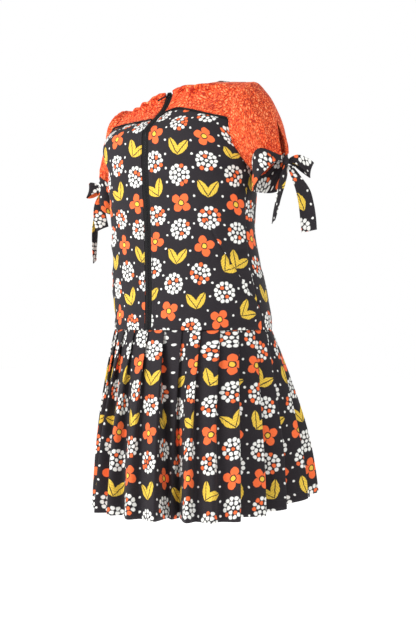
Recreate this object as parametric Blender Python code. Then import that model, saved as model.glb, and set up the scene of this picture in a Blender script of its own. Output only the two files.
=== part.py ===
# A drop-waist dress with front yokes, an exposed front zip, tied sleeves and a pleated skirt.
# Metres. Z is up, the front of the dress faces -Y and the wearer's left is +X. The origin is the
# middle of the neck opening, level with the top of the left shoulder.
import math

import bpy
import numpy as np
from mathutils import Matrix, Vector

SIDES = ((1, "left"), (-1, "right"))

# Cloth and seams
WALL = 0.0012
SEAM_GAP = 0.0004
HALF_GAP = SEAM_GAP / 2

# Heights and widths that the tables below share
WAIST_SEAM_Z = -0.5565
HEM_Z = -0.950
ZIP_HALF_WIDTH = 0.0095
RIGHT_SHOULDER_DROP = 0.034
DROP_FULL_Z = -0.030
DROP_NONE_Z = -0.160
SHOULDER_TIP_X = 0.166

# Rows of the body, from the waist seam (row 0) to the shoulder seam
ARMPIT_ROW = 7
YOKE_ROW = 10
NECK_ROW = 12
FRONT_TOP_ROW = 16
BACK_TOP_ROW = 15
BODY_COLUMNS = 10
YOKE_STEPS_BELOW_NECK = 3
ARMHOLE_STEPS_BELOW_YOKE = 4

# Middle line of the front, then the neck edge: x, y, z, turn (degrees that the row bends
# through on its way to the side), fullness (how far it swells between the two)
FRONT_MIDDLE = (
    (0.000, -0.1464, WAIST_SEAM_Z, 90, 0.000),
    (0.000, -0.1448, -0.520, 90, 0.000),
    (0.000, -0.1440, -0.475, 90, 0.000),
    (0.000, -0.1452, -0.430, 90, 0.000),
    (0.000, -0.1462, -0.375, 90, 0.001),
    (0.000, -0.1482, -0.320, 90, 0.003),
    (0.000, -0.1520, -0.262, 90, 0.008),
    (0.000, -0.1548, -0.205, 88, 0.013),
    (0.000, -0.1545, -0.160, 80, 0.010),
    (0.000, -0.1498, -0.1277, 70, 0.006),
    (0.000, -0.1147, -0.0955, 64, 0.003),
    (0.000, -0.0882, -0.0709, 58, 0.000),
    (0.000, -0.0730, -0.0410, 52, 0.000),
    (0.024, -0.0770, -0.0300, 48, 0.000),
    (0.048, -0.0560, -0.0260, 42, 0.000),
    (0.062, -0.0280, -0.0190, 36, 0.000),
    (0.067, 0.0100, -0.0100, 30, 0.000),
)

# Middle line of the back, with the same columns
BACK_MIDDLE = (
    (0.000, 0.160, WAIST_SEAM_Z, 90, 0.000),
    (0.000, 0.157, -0.520, 90, 0.000),
    (0.000, 0.150, -0.475, 90, 0.000),
    (0.000, 0.135, -0.430, 90, 0.000),
    (0.000, 0.111, -0.375, 90, 0.000),
    (0.000, 0.102, -0.320, 90, 0.000),
    (0.000, 0.111, -0.262, 90, 0.002),
    (0.000, 0.118, -0.205, 86, 0.004),
    (0.000, 0.117, -0.150, 72, 0.004),
    (0.000, 0.109, -0.100, 62, 0.003),
    (0.000, 0.094, -0.058, 56, 0.000),
    (0.000, 0.078, -0.030, 50, 0.000),
    (0.000, 0.066, -0.012, 46, 0.000),
    (0.032, 0.059, -0.007, 44, 0.000),
    (0.058, 0.036, -0.005, 38, 0.000),
    (0.067, 0.010, -0.010, 30, 0.000),
)

# Side seam, rows 0 to the armpit: x, y, z
SIDE_SEAM = (
    (0.188, 0.012, WAIST_SEAM_Z),
    (0.187, 0.006, -0.520),
    (0.184, -0.008, -0.475),
    (0.180, -0.017, -0.430),
    (0.1765, -0.025, -0.375),
    (0.175, -0.030, -0.320),
    (0.1745, -0.026, -0.262),
    (0.176, -0.010, -0.205),
)

# Front and back of the armhole, from the armpit up to the shoulder tip: x, y, z
ARMHOLE_FRONT = (
    (0.176, -0.010, -0.205),
    (0.176, -0.072, -0.168),
    (0.171, -0.086, -0.128),
    (0.167, -0.077, -0.094),
    (0.166, -0.062, -0.069),
    (0.166, -0.049, -0.053),
    (0.166, -0.036, -0.041),
    (0.166, -0.022, -0.032),
    (0.166, -0.006, -0.025),
    (0.166, 0.010, -0.021),
)
ARMHOLE_BACK = (
    (0.176, -0.010, -0.205),
    (0.172, 0.038, -0.178),
    (0.166, 0.058, -0.130),
    (0.164, 0.062, -0.092),
    (0.164, 0.054, -0.066),
    (0.164, 0.044, -0.046),
    (0.165, 0.033, -0.031),
    (0.166, 0.022, -0.022),
    (0.166, 0.010, -0.021),
)

# Rows of the yoke seam, from the zip to the armhole
YOKE_SEAM_LEFT = ((10.00,), (10.40,), (10.66,), (10.33,), (9.83,), (9.47,))
YOKE_SEAM_RIGHT = ((9.80,), (9.84,), (9.94,), (10.18,), (10.50,), (10.45,))

# Sections of each sleeve and, from BAND_ROW on, of its tie band: x and z of the outer line,
# x and z of the underarm line, depth to the front, depth to the back, lift of front and back
SLEEVE_LEFT = (
    (0.184, -0.029, 0.1800, -0.2090, 0.084, 0.063, 0.000),
    (0.203, -0.051, 0.1820, -0.2118, 0.081, 0.062, 0.002),
    (0.217, -0.075, 0.1835, -0.2146, 0.076, 0.059, 0.005),
    (0.229, -0.104, 0.1850, -0.2174, 0.070, 0.056, 0.010),
    (0.239, -0.136, 0.1860, -0.2202, 0.064, 0.053, 0.018),
    (0.2455, -0.164, 0.1870, -0.2230, 0.059, 0.050, 0.025),
    (0.2480, -0.186, 0.1880, -0.2258, 0.053, 0.047, 0.029),
    (0.2490, -0.190, 0.1900, -0.2420, 0.056, 0.048, 0.007),
    (0.2480, -0.197, 0.1915, -0.2620, 0.058, 0.046, -0.017),
)
SLEEVE_RIGHT = (
    (0.183, -0.057, 0.1810, -0.2120, 0.078, 0.064, 0.000),
    (0.193, -0.080, 0.1820, -0.2170, 0.069, 0.066, 0.002),
    (0.205, -0.106, 0.1835, -0.2230, 0.061, 0.066, 0.005),
    (0.218, -0.137, 0.1850, -0.2300, 0.055, 0.064, 0.010),
    (0.231, -0.169, 0.1870, -0.2380, 0.053, 0.061, 0.018),
    (0.241, -0.198, 0.1885, -0.2470, 0.053, 0.057, 0.026),
    (0.244, -0.222, 0.1900, -0.2560, 0.051, 0.052, 0.030),
    (0.2445, -0.227, 0.1920, -0.2740, 0.052, 0.052, 0.007),
    (0.2430, -0.234, 0.1935, -0.2940, 0.052, 0.050, -0.017),
)
ARMHOLE_CENTRE_Z = {1: -0.115, -1: -0.130}
RIGHT_SLIT_TWIST = 0.055
BAND_ROW = 7
BAND_END_ROW = 9
BAND_STEPS = 2
SLEEVE_GATHERS = 11
SLEEVE_GATHER_DEPTH = 0.0016
SLIT_TOP_ROW = 4
OUTSIDE_ARMHOLE = 0.1
SLIT_HALF_WIDTH = 0.026
BAND_END_HALF_WIDTH = 0.0225

# Tie: knot centres, and half sizes of a knot
KNOT_CENTRE = {1: (0.2530, 0.0060, -0.1975), -1: (-0.2478, -0.0098, -0.2345)}
KNOT_HALF = (0.0075, 0.0070, 0.0100)
KNOT_CLEARANCE = 0.00045
KNOT_SEGMENTS = 12
KNOT_RINGS = 8

# Ribbons of the ties, from the knot outward: x, y, z from the knot centre, half width, facing
# (degrees in plan that the ribbon's width is turned from straight back) and tilt (degrees that
# its width is raised from level)
LOOP_LEFT = (
    (0.0085, 0.0060, 0.0020, 0.0045, 0, 90),
    (0.0185, 0.0130, 0.0030, 0.0100, -10, 88),
    (0.0295, 0.0240, -0.0040, 0.0140, -20, 82),
    (0.0370, 0.0370, -0.0150, 0.0165, -20, 78),
    (0.0330, 0.0460, -0.0190, 0.0160, -10, 78),
    (0.0210, 0.0390, -0.0130, 0.0120, 0, 82),
    (0.0100, 0.0240, -0.0050, 0.0080, 0, 88),
    (0.0030, 0.0115, -0.0010, 0.0045, 0, 90),
)
TAIL_BACK_LEFT = (
    (0.0060, 0.0070, -0.0105, 0.0050, -50, 0),
    (0.0140, 0.0190, -0.0330, 0.0110, -50, -2),
    (0.0215, 0.0330, -0.0600, 0.0155, -52, -2),
    (0.0255, 0.0400, -0.0900, 0.0165, -50, -2),
    (0.0280, 0.0430, -0.1190, 0.0170, -46, 0),
    (0.0300, 0.0450, -0.1480, 0.0170, -44, 12),
)
TAIL_FRONT_LEFT = (
    (0.0035, -0.0050, -0.0120, 0.0040, -5, 0),
    (0.0000, -0.0110, -0.0380, 0.0100, -5, 0),
    (-0.0060, -0.0150, -0.0680, 0.0120, 0, 6),
    (-0.0120, -0.0190, -0.1000, 0.0105, 5, 14),
    (-0.0170, -0.0220, -0.1300, 0.0070, 8, 42),
)
LOOP_RIGHT = (
    (0.0080, -0.0050, 0.0030, 0.0045, 0, 90),
    (0.0170, -0.0110, 0.0060, 0.0110, 0, 86),
    (0.0270, -0.0190, 0.0040, 0.0160, 10, 82),
    (0.0320, -0.0180, -0.0010, 0.0165, 20, 80),
    (0.0260, -0.0080, -0.0030, 0.0130, 20, 84),
    (0.0150, -0.0010, -0.0010, 0.0080, 10, 88),
    (0.0085, 0.0030, 0.0000, 0.0045, 0, 90),
)
TAIL_BACK_RIGHT = (
    (0.0090, 0.0000, -0.0090, 0.0040, -10, 0),
    (0.0130, -0.0060, -0.0380, 0.0080, -15, 0),
    (0.0150, -0.0120, -0.0780, 0.0100, -10, 4),
    (0.0150, -0.0150, -0.1220, 0.0100, -5, 8),
    (0.0140, -0.0160, -0.1660, 0.0080, 0, 35),
)
TAIL_FRONT_RIGHT = (
    (0.0010, -0.0090, -0.0105, 0.0050, 50, 0),
    (-0.0040, -0.0200, -0.0290, 0.0105, 52, 0),
    (-0.0115, -0.0290, -0.0520, 0.0140, 54, 4),
    (-0.0200, -0.0340, -0.0740, 0.0150, 54, 10),
    (-0.0280, -0.0370, -0.0920, 0.0150, 54, 26),
)
RIBBON_COLUMNS = 2

# Piping on the yoke seam
PIPING_HALF_WIDTH = 0.0022
PIPING_HALF_HEIGHT = 0.0010
PIPING_LIFT = 0.0004
PIPING_SIDES = 6
PIPING_STOP = 0.965

# Zip slider and pull tab, in the zip's own axes (along the tape, out of it, across it)
SLIDER_HALF_WIDTH = 0.0042
SLIDER_LENGTH = 0.0090
SLIDER_HEAD = 0.0030
SLIDER_GAP = 0.0006
SLIDER_PLATE = 0.0012
SLIDER_POST = 0.0018
CROWN_AT = 0.0030
CROWN_HALF_LENGTH = 0.0023
CROWN_LEG = 0.0010
CROWN_HOLE = 0.0024
CROWN_HALF_WIDTH = 0.0008
CROWN_SINK = 0.0003
TAB_SWING = 52
TAB_LEAN = 12
TAB_LENGTH = 0.0270
TAB_HALF_WIDTH = 0.0024
TAB_WINDOW_HALF_WIDTH = 0.0015
TAB_WINDOW_END = 0.0039
TAB_NECK = 0.0030
TAB_TIP = 0.0008
TAB_TAPER = (1.0, 1.0, 1.0, 0.8, 0.95, 0.75, 0.45)
TAB_WINDOW_FACE = 4
TAB_WALL = 0.0011

# Skirt pleats: 13 on the front, 13 on the back
PLEATS = 26
PLEAT_OVERLAP = 0.019
LAYER = 0.0023
RING_CENTRE_Y = 0.012
RING_HALF_WIDTH = 0.188
RING_FRONT = 0.1584
RING_BACK = 0.148
SKIRT_ROWS = (0.0, 0.06, 0.16, 0.31, 0.50, 0.68, 0.85, 1.0)
SKIRT_EASE = 0.75
FRONT_FIRST_PLEAT = -6
FRONT_LAST_PLEAT = 6

# Points of one pleat at the seam: how far along the visible panel (0 at the last fold, 1 at this
# one), how far along the overlap, extra run, and depth in layers
PLEAT_AT_SEAM = (
    (0.0, -1.0, 0.0015, -2.25),
    (0.0, 0.0, 0.0050, -1.40),
    (0.5, 0.0, 0.0000, -0.40),
    (1.0, 0.0, -0.0015, 0.00),
    (1.0, 0.0, 0.0000, -0.50),
    (1.0, 0.0, -0.0015, -1.00),
    (1.0, -1.0, 0.0015, -1.20),
    (1.0, -1.0, 0.0000, -1.70),
)
# The same points at the hem: how far up the long side of the lobe, how far down its short side
PLEAT_AT_HEM = (
    (0.12, 0.0),
    (0.38, 0.0),
    (0.64, 0.0),
    (0.86, 0.0),
    (1.00, 0.0),
    (1.00, 0.3),
    (1.00, 0.7),
    (1.00, 1.0),
)
# Lobes of the hem, from the first pleat on the right round the front, left and back: ridge
# angle (degrees from the front towards the wearer's left), ridge radius, valley angle, valley
# radius, lift
HEM_LOBES = (
    (-83, 0.226, -77, 0.198, 0.000),
    (-69, 0.222, -64, 0.194, 0.000),
    (-55, 0.219, -48, 0.186, 0.004),
    (-39, 0.220, -33, 0.196, 0.003),
    (-24, 0.232, -19, 0.204, 0.000),
    (-9, 0.237, -4, 0.212, 0.002),
    (6, 0.243, 10, 0.222, 0.000),
    (20.5, 0.247, 24, 0.192, 0.000),
    (27.5, 0.208, 31, 0.188, 0.000),
    (36.5, 0.255, 41, 0.235, 0.000),
    (48, 0.264, 52.5, 0.246, 0.000),
    (60, 0.270, 66, 0.214, 0.002),
    (81, 0.234, 87, 0.202, 0.002),
    (95, 0.246, 100, 0.222, 0.012),
    (108, 0.272, 112, 0.250, 0.030),
    (119, 0.286, 124, 0.252, 0.036),
    (133, 0.270, 139, 0.238, 0.016),
    (148, 0.266, 153, 0.236, 0.004),
    (162, 0.266, 168, 0.232, 0.000),
    (176, 0.264, 181, 0.236, 0.000),
    (191, 0.262, 197, 0.226, 0.002),
    (206, 0.262, 211, 0.230, 0.000),
    (221, 0.256, 227, 0.222, 0.000),
    (236, 0.252, 241, 0.222, 0.000),
    (250, 0.244, 255, 0.210, 0.002),
    (264, 0.236, 269, 0.206, 0.000),
)

CLOTHS = {
    "dark_print": (0.035, 0.030, 0.040),
    "orange_print": (0.750, 0.110, 0.025),
    "piping": (0.010, 0.010, 0.012),
    "zip_tape": (0.014, 0.014, 0.016),
    "zip_metal": (0.030, 0.030, 0.034),
}


def clear_scene():
    for thing in list(bpy.data.objects):
        bpy.data.objects.remove(thing, do_unlink=True)


def smooth_step(low, high, value):
    share = min(max((value - low) / (high - low), 0.0), 1.0)
    return share * share * (3 - 2 * share)


def along(table, row):
    """A table read at a fractional row number, along a smooth curve."""
    table = np.asarray(table, dtype=float)
    first = min(int(math.floor(row)), len(table) - 2)
    share = row - first
    here, there = table[first], table[first + 1]
    before = table[first - 1] if first > 0 else 2 * here - there
    after = table[first + 2] if first + 2 < len(table) else 2 * there - here
    return 0.5 * (2 * here + (there - before) * share
                  + (2 * before - 5 * here + 4 * there - after) * share ** 2
                  + (3 * here - before - 3 * there + after) * share ** 3)


def edge_of(armhole, row):
    """The side seam below the armpit and the armhole above it."""
    if row <= ARMPIT_ROW:
        return along(SIDE_SEAM, row)
    return along(armhole, row - ARMPIT_ROW)


def drop_right_shoulder(point, side):
    if side > 0:
        return point
    outward = math.sin(math.pi / 2 * min(abs(point[0]) / SHOULDER_TIP_X, 1.0))
    share = outward * smooth_step(DROP_NONE_Z, DROP_FULL_Z, point[2])
    return point - np.array((0.0, 0.0, RIGHT_SHOULDER_DROP * share))


def body_point(middle, armhole, side, across, row):
    """A point of the body: across is 0 on the middle line and 1 on the side or armhole."""
    x, y, z, turn, fullness = along(middle, row)
    x = max(x, 0.0)
    edge = edge_of(armhole, row)
    bend = math.radians(turn)
    outward = 1.0 if y > edge[1] else -1.0
    swell = fullness * math.sin(math.pi * across)
    point = np.array((
        x + (edge[0] - x) * math.sin(across * bend) / math.sin(bend)
        + swell * math.sin(across * bend),
        y + (edge[1] - y) * (1 - math.cos(across * bend)) / (1 - math.cos(bend))
        + outward * swell * math.cos(across * bend),
        z + (edge[2] - z) * across,
    ))
    point[0] *= side
    return drop_right_shoulder(point, side)


def front_point(side, across, row):
    return body_point(FRONT_MIDDLE, ARMHOLE_FRONT, side, across, row)


def back_point(side, across, row):
    return body_point(BACK_MIDDLE, ARMHOLE_BACK, side, across, row)


def zip_edge(row):
    """How far across the front the zip tape reaches at a row."""
    x, _, _, turn, _ = along(FRONT_MIDDLE, row)
    x = max(x, 0.0)
    edge_x = edge_of(ARMHOLE_FRONT, row)[0]
    bend = math.radians(turn)
    reach = (ZIP_HALF_WIDTH - x) * math.sin(bend) / (edge_x - x)
    return max(math.asin(max(reach, -1.0)) / bend, 0.0)


def yoke_row(side, across):
    """The row of the yoke seam; its table is closer spaced near the zip, where it bends most."""
    table = YOKE_SEAM_LEFT if side > 0 else YOKE_SEAM_RIGHT
    return float(along(table, math.sqrt(across) * (len(table) - 1))[0])


def across_from_zip(row, column):
    start = zip_edge(row)
    return start + (1 - start) * column / BODY_COLUMNS


def bodice_front_grid(side):
    rows = [[front_point(side, across_from_zip(row, column), row)
             for column in range(BODY_COLUMNS + 1)] for row in range(ARMPIT_ROW)]
    for step in range(ARMHOLE_STEPS_BELOW_YOKE + 1):
        line = []
        for column in range(BODY_COLUMNS + 1):
            top = yoke_row(side, column / BODY_COLUMNS)
            row = ARMPIT_ROW + (top - ARMPIT_ROW) * step / ARMHOLE_STEPS_BELOW_YOKE
            line.append(front_point(side, across_from_zip(row, column), row))
        rows.append(line)
    return np.array(rows)


def yoke_grid(side):
    rows = []
    for step in range(YOKE_STEPS_BELOW_NECK + 1):
        line = []
        for column in range(BODY_COLUMNS + 1):
            low = yoke_row(side, column / BODY_COLUMNS)
            row = low + (NECK_ROW - low) * step / YOKE_STEPS_BELOW_NECK
            line.append(front_point(side, across_from_zip(row, column), row))
        rows.append(line)
    for row in range(NECK_ROW + 1, FRONT_TOP_ROW + 1):
        rows.append([front_point(side, across_from_zip(row, column), row)
                     for column in range(BODY_COLUMNS + 1)])
    return np.array(rows)


def tape_grid(side):
    rows = list(range(YOKE_ROW)) + [YOKE_ROW - 0.5, YOKE_ROW, YOKE_ROW + 0.5]
    rows += [YOKE_ROW + 1, YOKE_ROW + 1.5, NECK_ROW]
    return np.array([[front_point(side, zip_edge(row) * share, row) for share in (0.0, 1.0)]
                     for row in sorted(set(rows))])


def back_grid(side):
    return np.array([[back_point(side, column / BODY_COLUMNS, row)
                      for column in range(BODY_COLUMNS + 1)] for row in range(BACK_TOP_ROW + 1)])


def armhole_loop(side):
    """The armhole's points from the shoulder tip down the front and up the back."""
    front = [line[-1] for line in bodice_front_grid(side)[ARMPIT_ROW:]]
    front += [line[-1] for line in yoke_grid(side)[1:]]
    back = [line[-1] for line in back_grid(side)[ARMPIT_ROW + 1:]]
    corners = front[::-1] + back
    loop = []
    for here, there in zip(corners, corners[1:]):
        loop += [here, (here + there) / 2]
    return loop


def sleeve_point(side, turn, row):
    """A point of the sleeve past the armhole; turn is 0 outside, 0.25 in front, 0.5 under."""
    table = SLEEVE_LEFT if side > 0 else SLEEVE_RIGHT
    outer_x, outer_z, under_x, under_z, front, back, lift = along(table, row - 1)
    angle = 2 * math.pi * turn
    cosine, sine = math.cos(angle), math.sin(angle)
    depth = front if sine > 0 else back
    fade = math.sin(math.pi * min(row / BAND_ROW, 1.0)) * (1 + cosine) / 2
    ripple = 1 + fade * SLEEVE_GATHER_DEPTH / depth * math.sin(SLEEVE_GATHERS * angle)
    return np.array((
        side * ((outer_x + under_x) / 2 + (outer_x - under_x) / 2 * cosine * ripple),
        -depth * sine * ripple,
        (outer_z + under_z) / 2 + (outer_z - under_z) / 2 * cosine * ripple + lift * sine * sine,
    ))


def sleeve_turns(loop, side):
    """The turn of each armhole point, shared by every section of the sleeve."""
    turns = []
    for point in loop:
        turn = math.atan2(-point[1], point[2] - ARMHOLE_CENTRE_Z[side]) / (2 * math.pi)
        turns.append(turn if not turns or turn >= turns[-1] - 0.5 else turn + 1)
    return turns


def slit_half_width(row):
    """Half of the slit's width, as a share of the turn round the arm."""
    if row <= SLIT_TOP_ROW:
        return 0.0
    if row >= BAND_ROW:
        return BAND_END_HALF_WIDTH
    share = (row - SLIT_TOP_ROW) / (BAND_ROW - SLIT_TOP_ROW)
    return SLIT_HALF_WIDTH * math.sin(math.pi * share) + BAND_END_HALF_WIDTH * share ** 3


def set_off(loop, normals, side):
    """The sleeve's first line: the armhole moved off the body's wall by the seam gap."""
    count = len(loop)
    middle = sum(loop) / count + np.array((side * OUTSIDE_ARMHOLE, 0.0, 0.0))
    turns = sleeve_turns(loop, side)
    line = []
    for number, point in enumerate(loop):
        run = unit(loop[(number + 1) % count] - loop[number - 1])
        normal = normals[number]
        away = np.cross(run, normal)
        away = unit(away if float(away @ (middle - point)) > 0 else -away)
        lead = unit(sleeve_point(side, turns[number], 1) - point)
        lead = unit(lead - run * float(lead @ run))
        own = np.cross(run, lead)
        past_edge = (SEAM_GAP + WALL / 2 * abs(float(own @ away))) / max(float(lead @ away), 0.01)
        clear_of_face = SEAM_GAP + WALL / 2 * (1 + abs(float(own @ normal)))
        past_face = clear_of_face / max(float(lead @ normal), 0.01)
        line.append(point + lead * min(past_edge, past_face))
    return line


def sleeve_lines(side, rows, normals):
    """Lines round the sleeve at the given rows, each open by the slit's width."""
    loop = armhole_loop(side)
    turns = sleeve_turns(loop, side)
    start = turns[0]
    shares = [turn - start for turn in turns] + [1.0]
    lines = []
    for row in rows:
        gap = slit_half_width(row)
        twist = RIGHT_SLIT_TWIST * min(row / BAND_ROW, 1.0) if side < 0 else 0.0
        if row == 0:
            first = set_off(loop, normals, side)
            lines.append(first + [first[0]])
            continue
        lines.append([sleeve_point(side, start + twist + gap + (1 - 2 * gap) * share, row)
                      for share in shares])
    return np.array(lines)


def sleeve_grid(side, normals):
    return sleeve_lines(side, [0, 1, 2, 3, SLIT_TOP_ROW, 5, 6, BAND_ROW], normals)


def band_grid(side):
    steps = [BAND_ROW + (BAND_END_ROW - BAND_ROW) * step / BAND_STEPS for step in range(BAND_STEPS + 1)]
    return sleeve_lines(side, steps, None)


def key_of(point):
    return tuple(int(round(value * 1e6)) for value in point)


def patch_faces(grid, flip):
    """The corner points of each square of a grid, in outward order."""
    faces = []
    for low, high in zip(grid, grid[1:]):
        for column in range(len(low) - 1):
            face = [low[column], low[column + 1], high[column + 1], high[column]]
            distinct = []
            for point in face:
                if key_of(point) not in [key_of(other) for other in distinct]:
                    distinct.append(point)
            if len(distinct) > 2:
                faces.append(distinct[::-1] if flip else distinct)
    return faces


def face_normal(face):
    first, last = face[2] - face[0], (face[3] if len(face) > 3 else face[2]) - face[1]
    return np.cross(first, last)


def add_normals(normals, faces):
    """Adds each face's normal to its corners, so that pieces that meet share their normals."""
    for face in faces:
        normal = face_normal(face)
        for point in face:
            key = key_of(point)
            normals[key] = normals.get(key, np.zeros(3)) + normal


def unit(vector):
    return vector / max(np.linalg.norm(vector), 1e-12)


def split(corners, points):
    """A square cut along its shorter diagonal, so that both faces of a wall are cut alike."""
    if len(corners) == 3:
        return [tuple(corners)]
    first, second, third, fourth = corners
    if np.linalg.norm(points[first] - points[third]) <= np.linalg.norm(points[second] - points[fourth]):
        return [(first, second, third), (first, third, fourth)]
    return [(first, second, fourth), (second, third, fourth)]


def wall_mesh(faces, normals, wall, level_ends=()):
    """Vertices and faces of a closed wall round a sheet, trimmed at the sheet's edges."""
    index, points, sheet = {}, [], []
    for face in faces:
        corners = []
        for point in face:
            key = key_of(point)
            if key not in index:
                index[key] = len(points)
                points.append(np.array(point, dtype=float))
            corners.append(index[key])
        sheet.append(corners)
    directions = [None] * len(points)
    for key, number in index.items():
        direction = np.array(normals[key])
        if any(abs(points[number][2] - level) < 1e-5 for level in level_ends):
            direction[2] = 0.0
        directions[number] = unit(direction)
    edges = {}
    for corners in sheet:
        for start, end in zip(corners, corners[1:] + corners[:1]):
            edges[(start, end)] = edges.get((start, end), 0) + 1
    rim = [edge for edge in edges if (edge[1], edge[0]) not in edges]
    inward = {}
    for start, end in rim:
        across = points[end] - points[start]
        for number in (start, end):
            inward.setdefault(number, []).append(unit(np.cross(directions[number], across)))
    moved = [point.copy() for point in points]
    for number, pulls in inward.items():
        pull = sum(pulls)
        moved[number] += HALF_GAP * pull / max(0.5 * float(pull @ pull), 0.5)
    count = len(points)
    vertices = [moved[number] + directions[number] * wall / 2 for number in range(count)]
    vertices += [moved[number] - directions[number] * wall / 2 for number in range(count)]
    outside = [triangle for corners in sheet for triangle in split(corners, moved)]
    solid = list(outside)
    solid += [tuple(number + count for number in reversed(triangle)) for triangle in outside]
    solid += [(end, start, start + count, end + count) for start, end in rim]
    return vertices, solid


def material_for(name, cloth):
    material = bpy.data.materials.new(name)
    material.use_nodes = True
    shader = material.node_tree.nodes["Principled BSDF"]
    shader.inputs["Base Color"].default_value = (*CLOTHS[cloth], 1.0)
    shader.inputs["Roughness"].default_value = 0.9
    return material


def add_object(name, vertices, faces, cloth, smooth=True):
    mesh = bpy.data.meshes.new(name)
    mesh.from_pydata([tuple(float(value) for value in vertex) for vertex in vertices], [], faces)
    mesh.polygons.foreach_set("use_smooth", [smooth] * len(mesh.polygons))
    mesh.update()
    thing = bpy.data.objects.new(name, mesh)
    thing.data.materials.append(material_for(name, cloth))
    bpy.context.scene.collection.objects.link(thing)
    return thing


def add_cloth(name, faces, normals, cloth, wall=WALL, level_ends=()):
    vertices, solid = wall_mesh(faces, normals, wall, level_ends)
    return add_object(name, vertices, solid, cloth)


def own_normals(faces):
    normals = {}
    add_normals(normals, faces)
    return normals


def build_body():
    """The bodice, yokes and tapes, which share normals where they meet."""
    pieces = {}
    for side, hand in SIDES:
        mirrored = side < 0
        pieces[f"bodice_front_{hand}"] = (patch_faces(bodice_front_grid(side), mirrored), "dark_print")
        pieces[f"yoke_{hand}"] = (patch_faces(yoke_grid(side), mirrored), "orange_print")
        pieces[f"zip_tape_{hand}"] = (patch_faces(tape_grid(side), mirrored), "zip_tape")
    back = patch_faces(back_grid(1), True) + patch_faces(back_grid(-1), False)
    pieces["bodice_back"] = (back, "dark_print")
    normals = {}
    for faces, _ in pieces.values():
        add_normals(normals, faces)
    for name, (faces, cloth) in pieces.items():
        add_cloth(name, faces, normals, cloth, level_ends=(WAIST_SEAM_Z,))
    return normals


def loop_normals(loop, normals):
    """The body's outward direction at each armhole point; between corners it is their mean."""
    corners = [unit(normals[key_of(point)]) for point in loop[::2]]
    found = []
    for number, here in enumerate(corners):
        found += [here, unit(here + corners[(number + 1) % len(corners)])]
    return found


def build_sleeves(body_normals):
    for side, hand in SIDES:
        armhole = loop_normals(armhole_loop(side), body_normals)
        sleeve = patch_faces(sleeve_grid(side, armhole), side < 0)
        band = patch_faces(band_grid(side), side < 0)
        normals = own_normals(sleeve + band)
        add_cloth(f"sleeve_{hand}", sleeve, normals, "orange_print")
        add_cloth(f"sleeve_band_{hand}", band, normals, "dark_print")


def build_piping(normals):
    """A cord of piping that lies over each yoke seam."""
    for side, hand in SIDES:
        seam = yoke_grid(side)[0]
        centres = [seam[0]] + list(seam[1:-1]) + [seam[-2] + (seam[-1] - seam[-2]) * PIPING_STOP]
        ups = [unit(normals[key_of(point)]) for point in seam]
        vertices = []
        for number, centre in enumerate(centres):
            before = centres[max(number - 1, 0)]
            after = centres[min(number + 1, len(centres) - 1)]
            run = unit(after - before)
            up = unit(ups[number] - run * float(ups[number] @ run))
            wide = np.cross(run, up)
            base = WALL / 2 + PIPING_LIFT + PIPING_HALF_HEIGHT
            for step in range(PIPING_SIDES):
                angle = 2 * math.pi * step / PIPING_SIDES
                vertices.append(centre + up * (base + PIPING_HALF_HEIGHT * math.sin(angle))
                                + wide * PIPING_HALF_WIDTH * math.cos(angle))
        add_tube(f"yoke_piping_{hand}", vertices, PIPING_SIDES, "piping")


def add_tube(name, vertices, sides, cloth):
    """Joins rings of vertices into a closed bar."""
    rings = len(vertices) // sides
    faces = []
    for ring in range(rings - 1):
        for step in range(sides):
            after = (step + 1) % sides
            faces.append((ring * sides + step, ring * sides + after,
                          (ring + 1) * sides + after, (ring + 1) * sides + step))
    faces.append(tuple(reversed(range(sides))))
    faces.append(tuple(range((rings - 1) * sides, rings * sides)))
    return add_object(name, vertices, outward(vertices, faces), cloth)


def outward(vertices, faces):
    """The faces, all turned round if they enclose a negative volume."""
    volume = 0.0
    for face in faces:
        for second, third in zip(face[1:], face[2:]):
            volume += float(np.dot(vertices[face[0]], np.cross(vertices[second], vertices[third])))
    return faces if volume > 0 else [tuple(reversed(face)) for face in faces]


def build_knot(side, hand):
    centre = np.array(KNOT_CENTRE[side])
    vertices = [centre + np.array((0.0, 0.0, KNOT_HALF[2]))]
    for ring in range(1, KNOT_RINGS):
        tilt = math.pi * ring / KNOT_RINGS
        for step in range(KNOT_SEGMENTS):
            angle = 2 * math.pi * step / KNOT_SEGMENTS
            vertices.append(centre + np.array((
                KNOT_HALF[0] * math.sin(tilt) * math.cos(angle),
                KNOT_HALF[1] * math.sin(tilt) * math.sin(angle),
                KNOT_HALF[2] * math.cos(tilt))))
    vertices.append(centre - np.array((0.0, 0.0, KNOT_HALF[2])))
    faces = []
    last = len(vertices) - 1
    for step in range(KNOT_SEGMENTS):
        after = (step + 1) % KNOT_SEGMENTS
        faces.append((0, 1 + step, 1 + after))
        for ring in range(KNOT_RINGS - 2):
            low = 1 + ring * KNOT_SEGMENTS
            faces.append((low + step, low + KNOT_SEGMENTS + step, low + KNOT_SEGMENTS + after, low + after))
        low = 1 + (KNOT_RINGS - 2) * KNOT_SEGMENTS
        faces.append((low + step, last, low + after))
    add_object(f"tie_knot_{hand}", vertices, outward(vertices, faces), "dark_print")


def across_ribbon(facing, tilt):
    """The direction of a ribbon's width."""
    turn, raise_by = math.radians(facing), math.radians(tilt)
    return np.array((-math.sin(turn) * math.cos(raise_by), math.cos(turn) * math.cos(raise_by),
                     math.sin(raise_by)))


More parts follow.
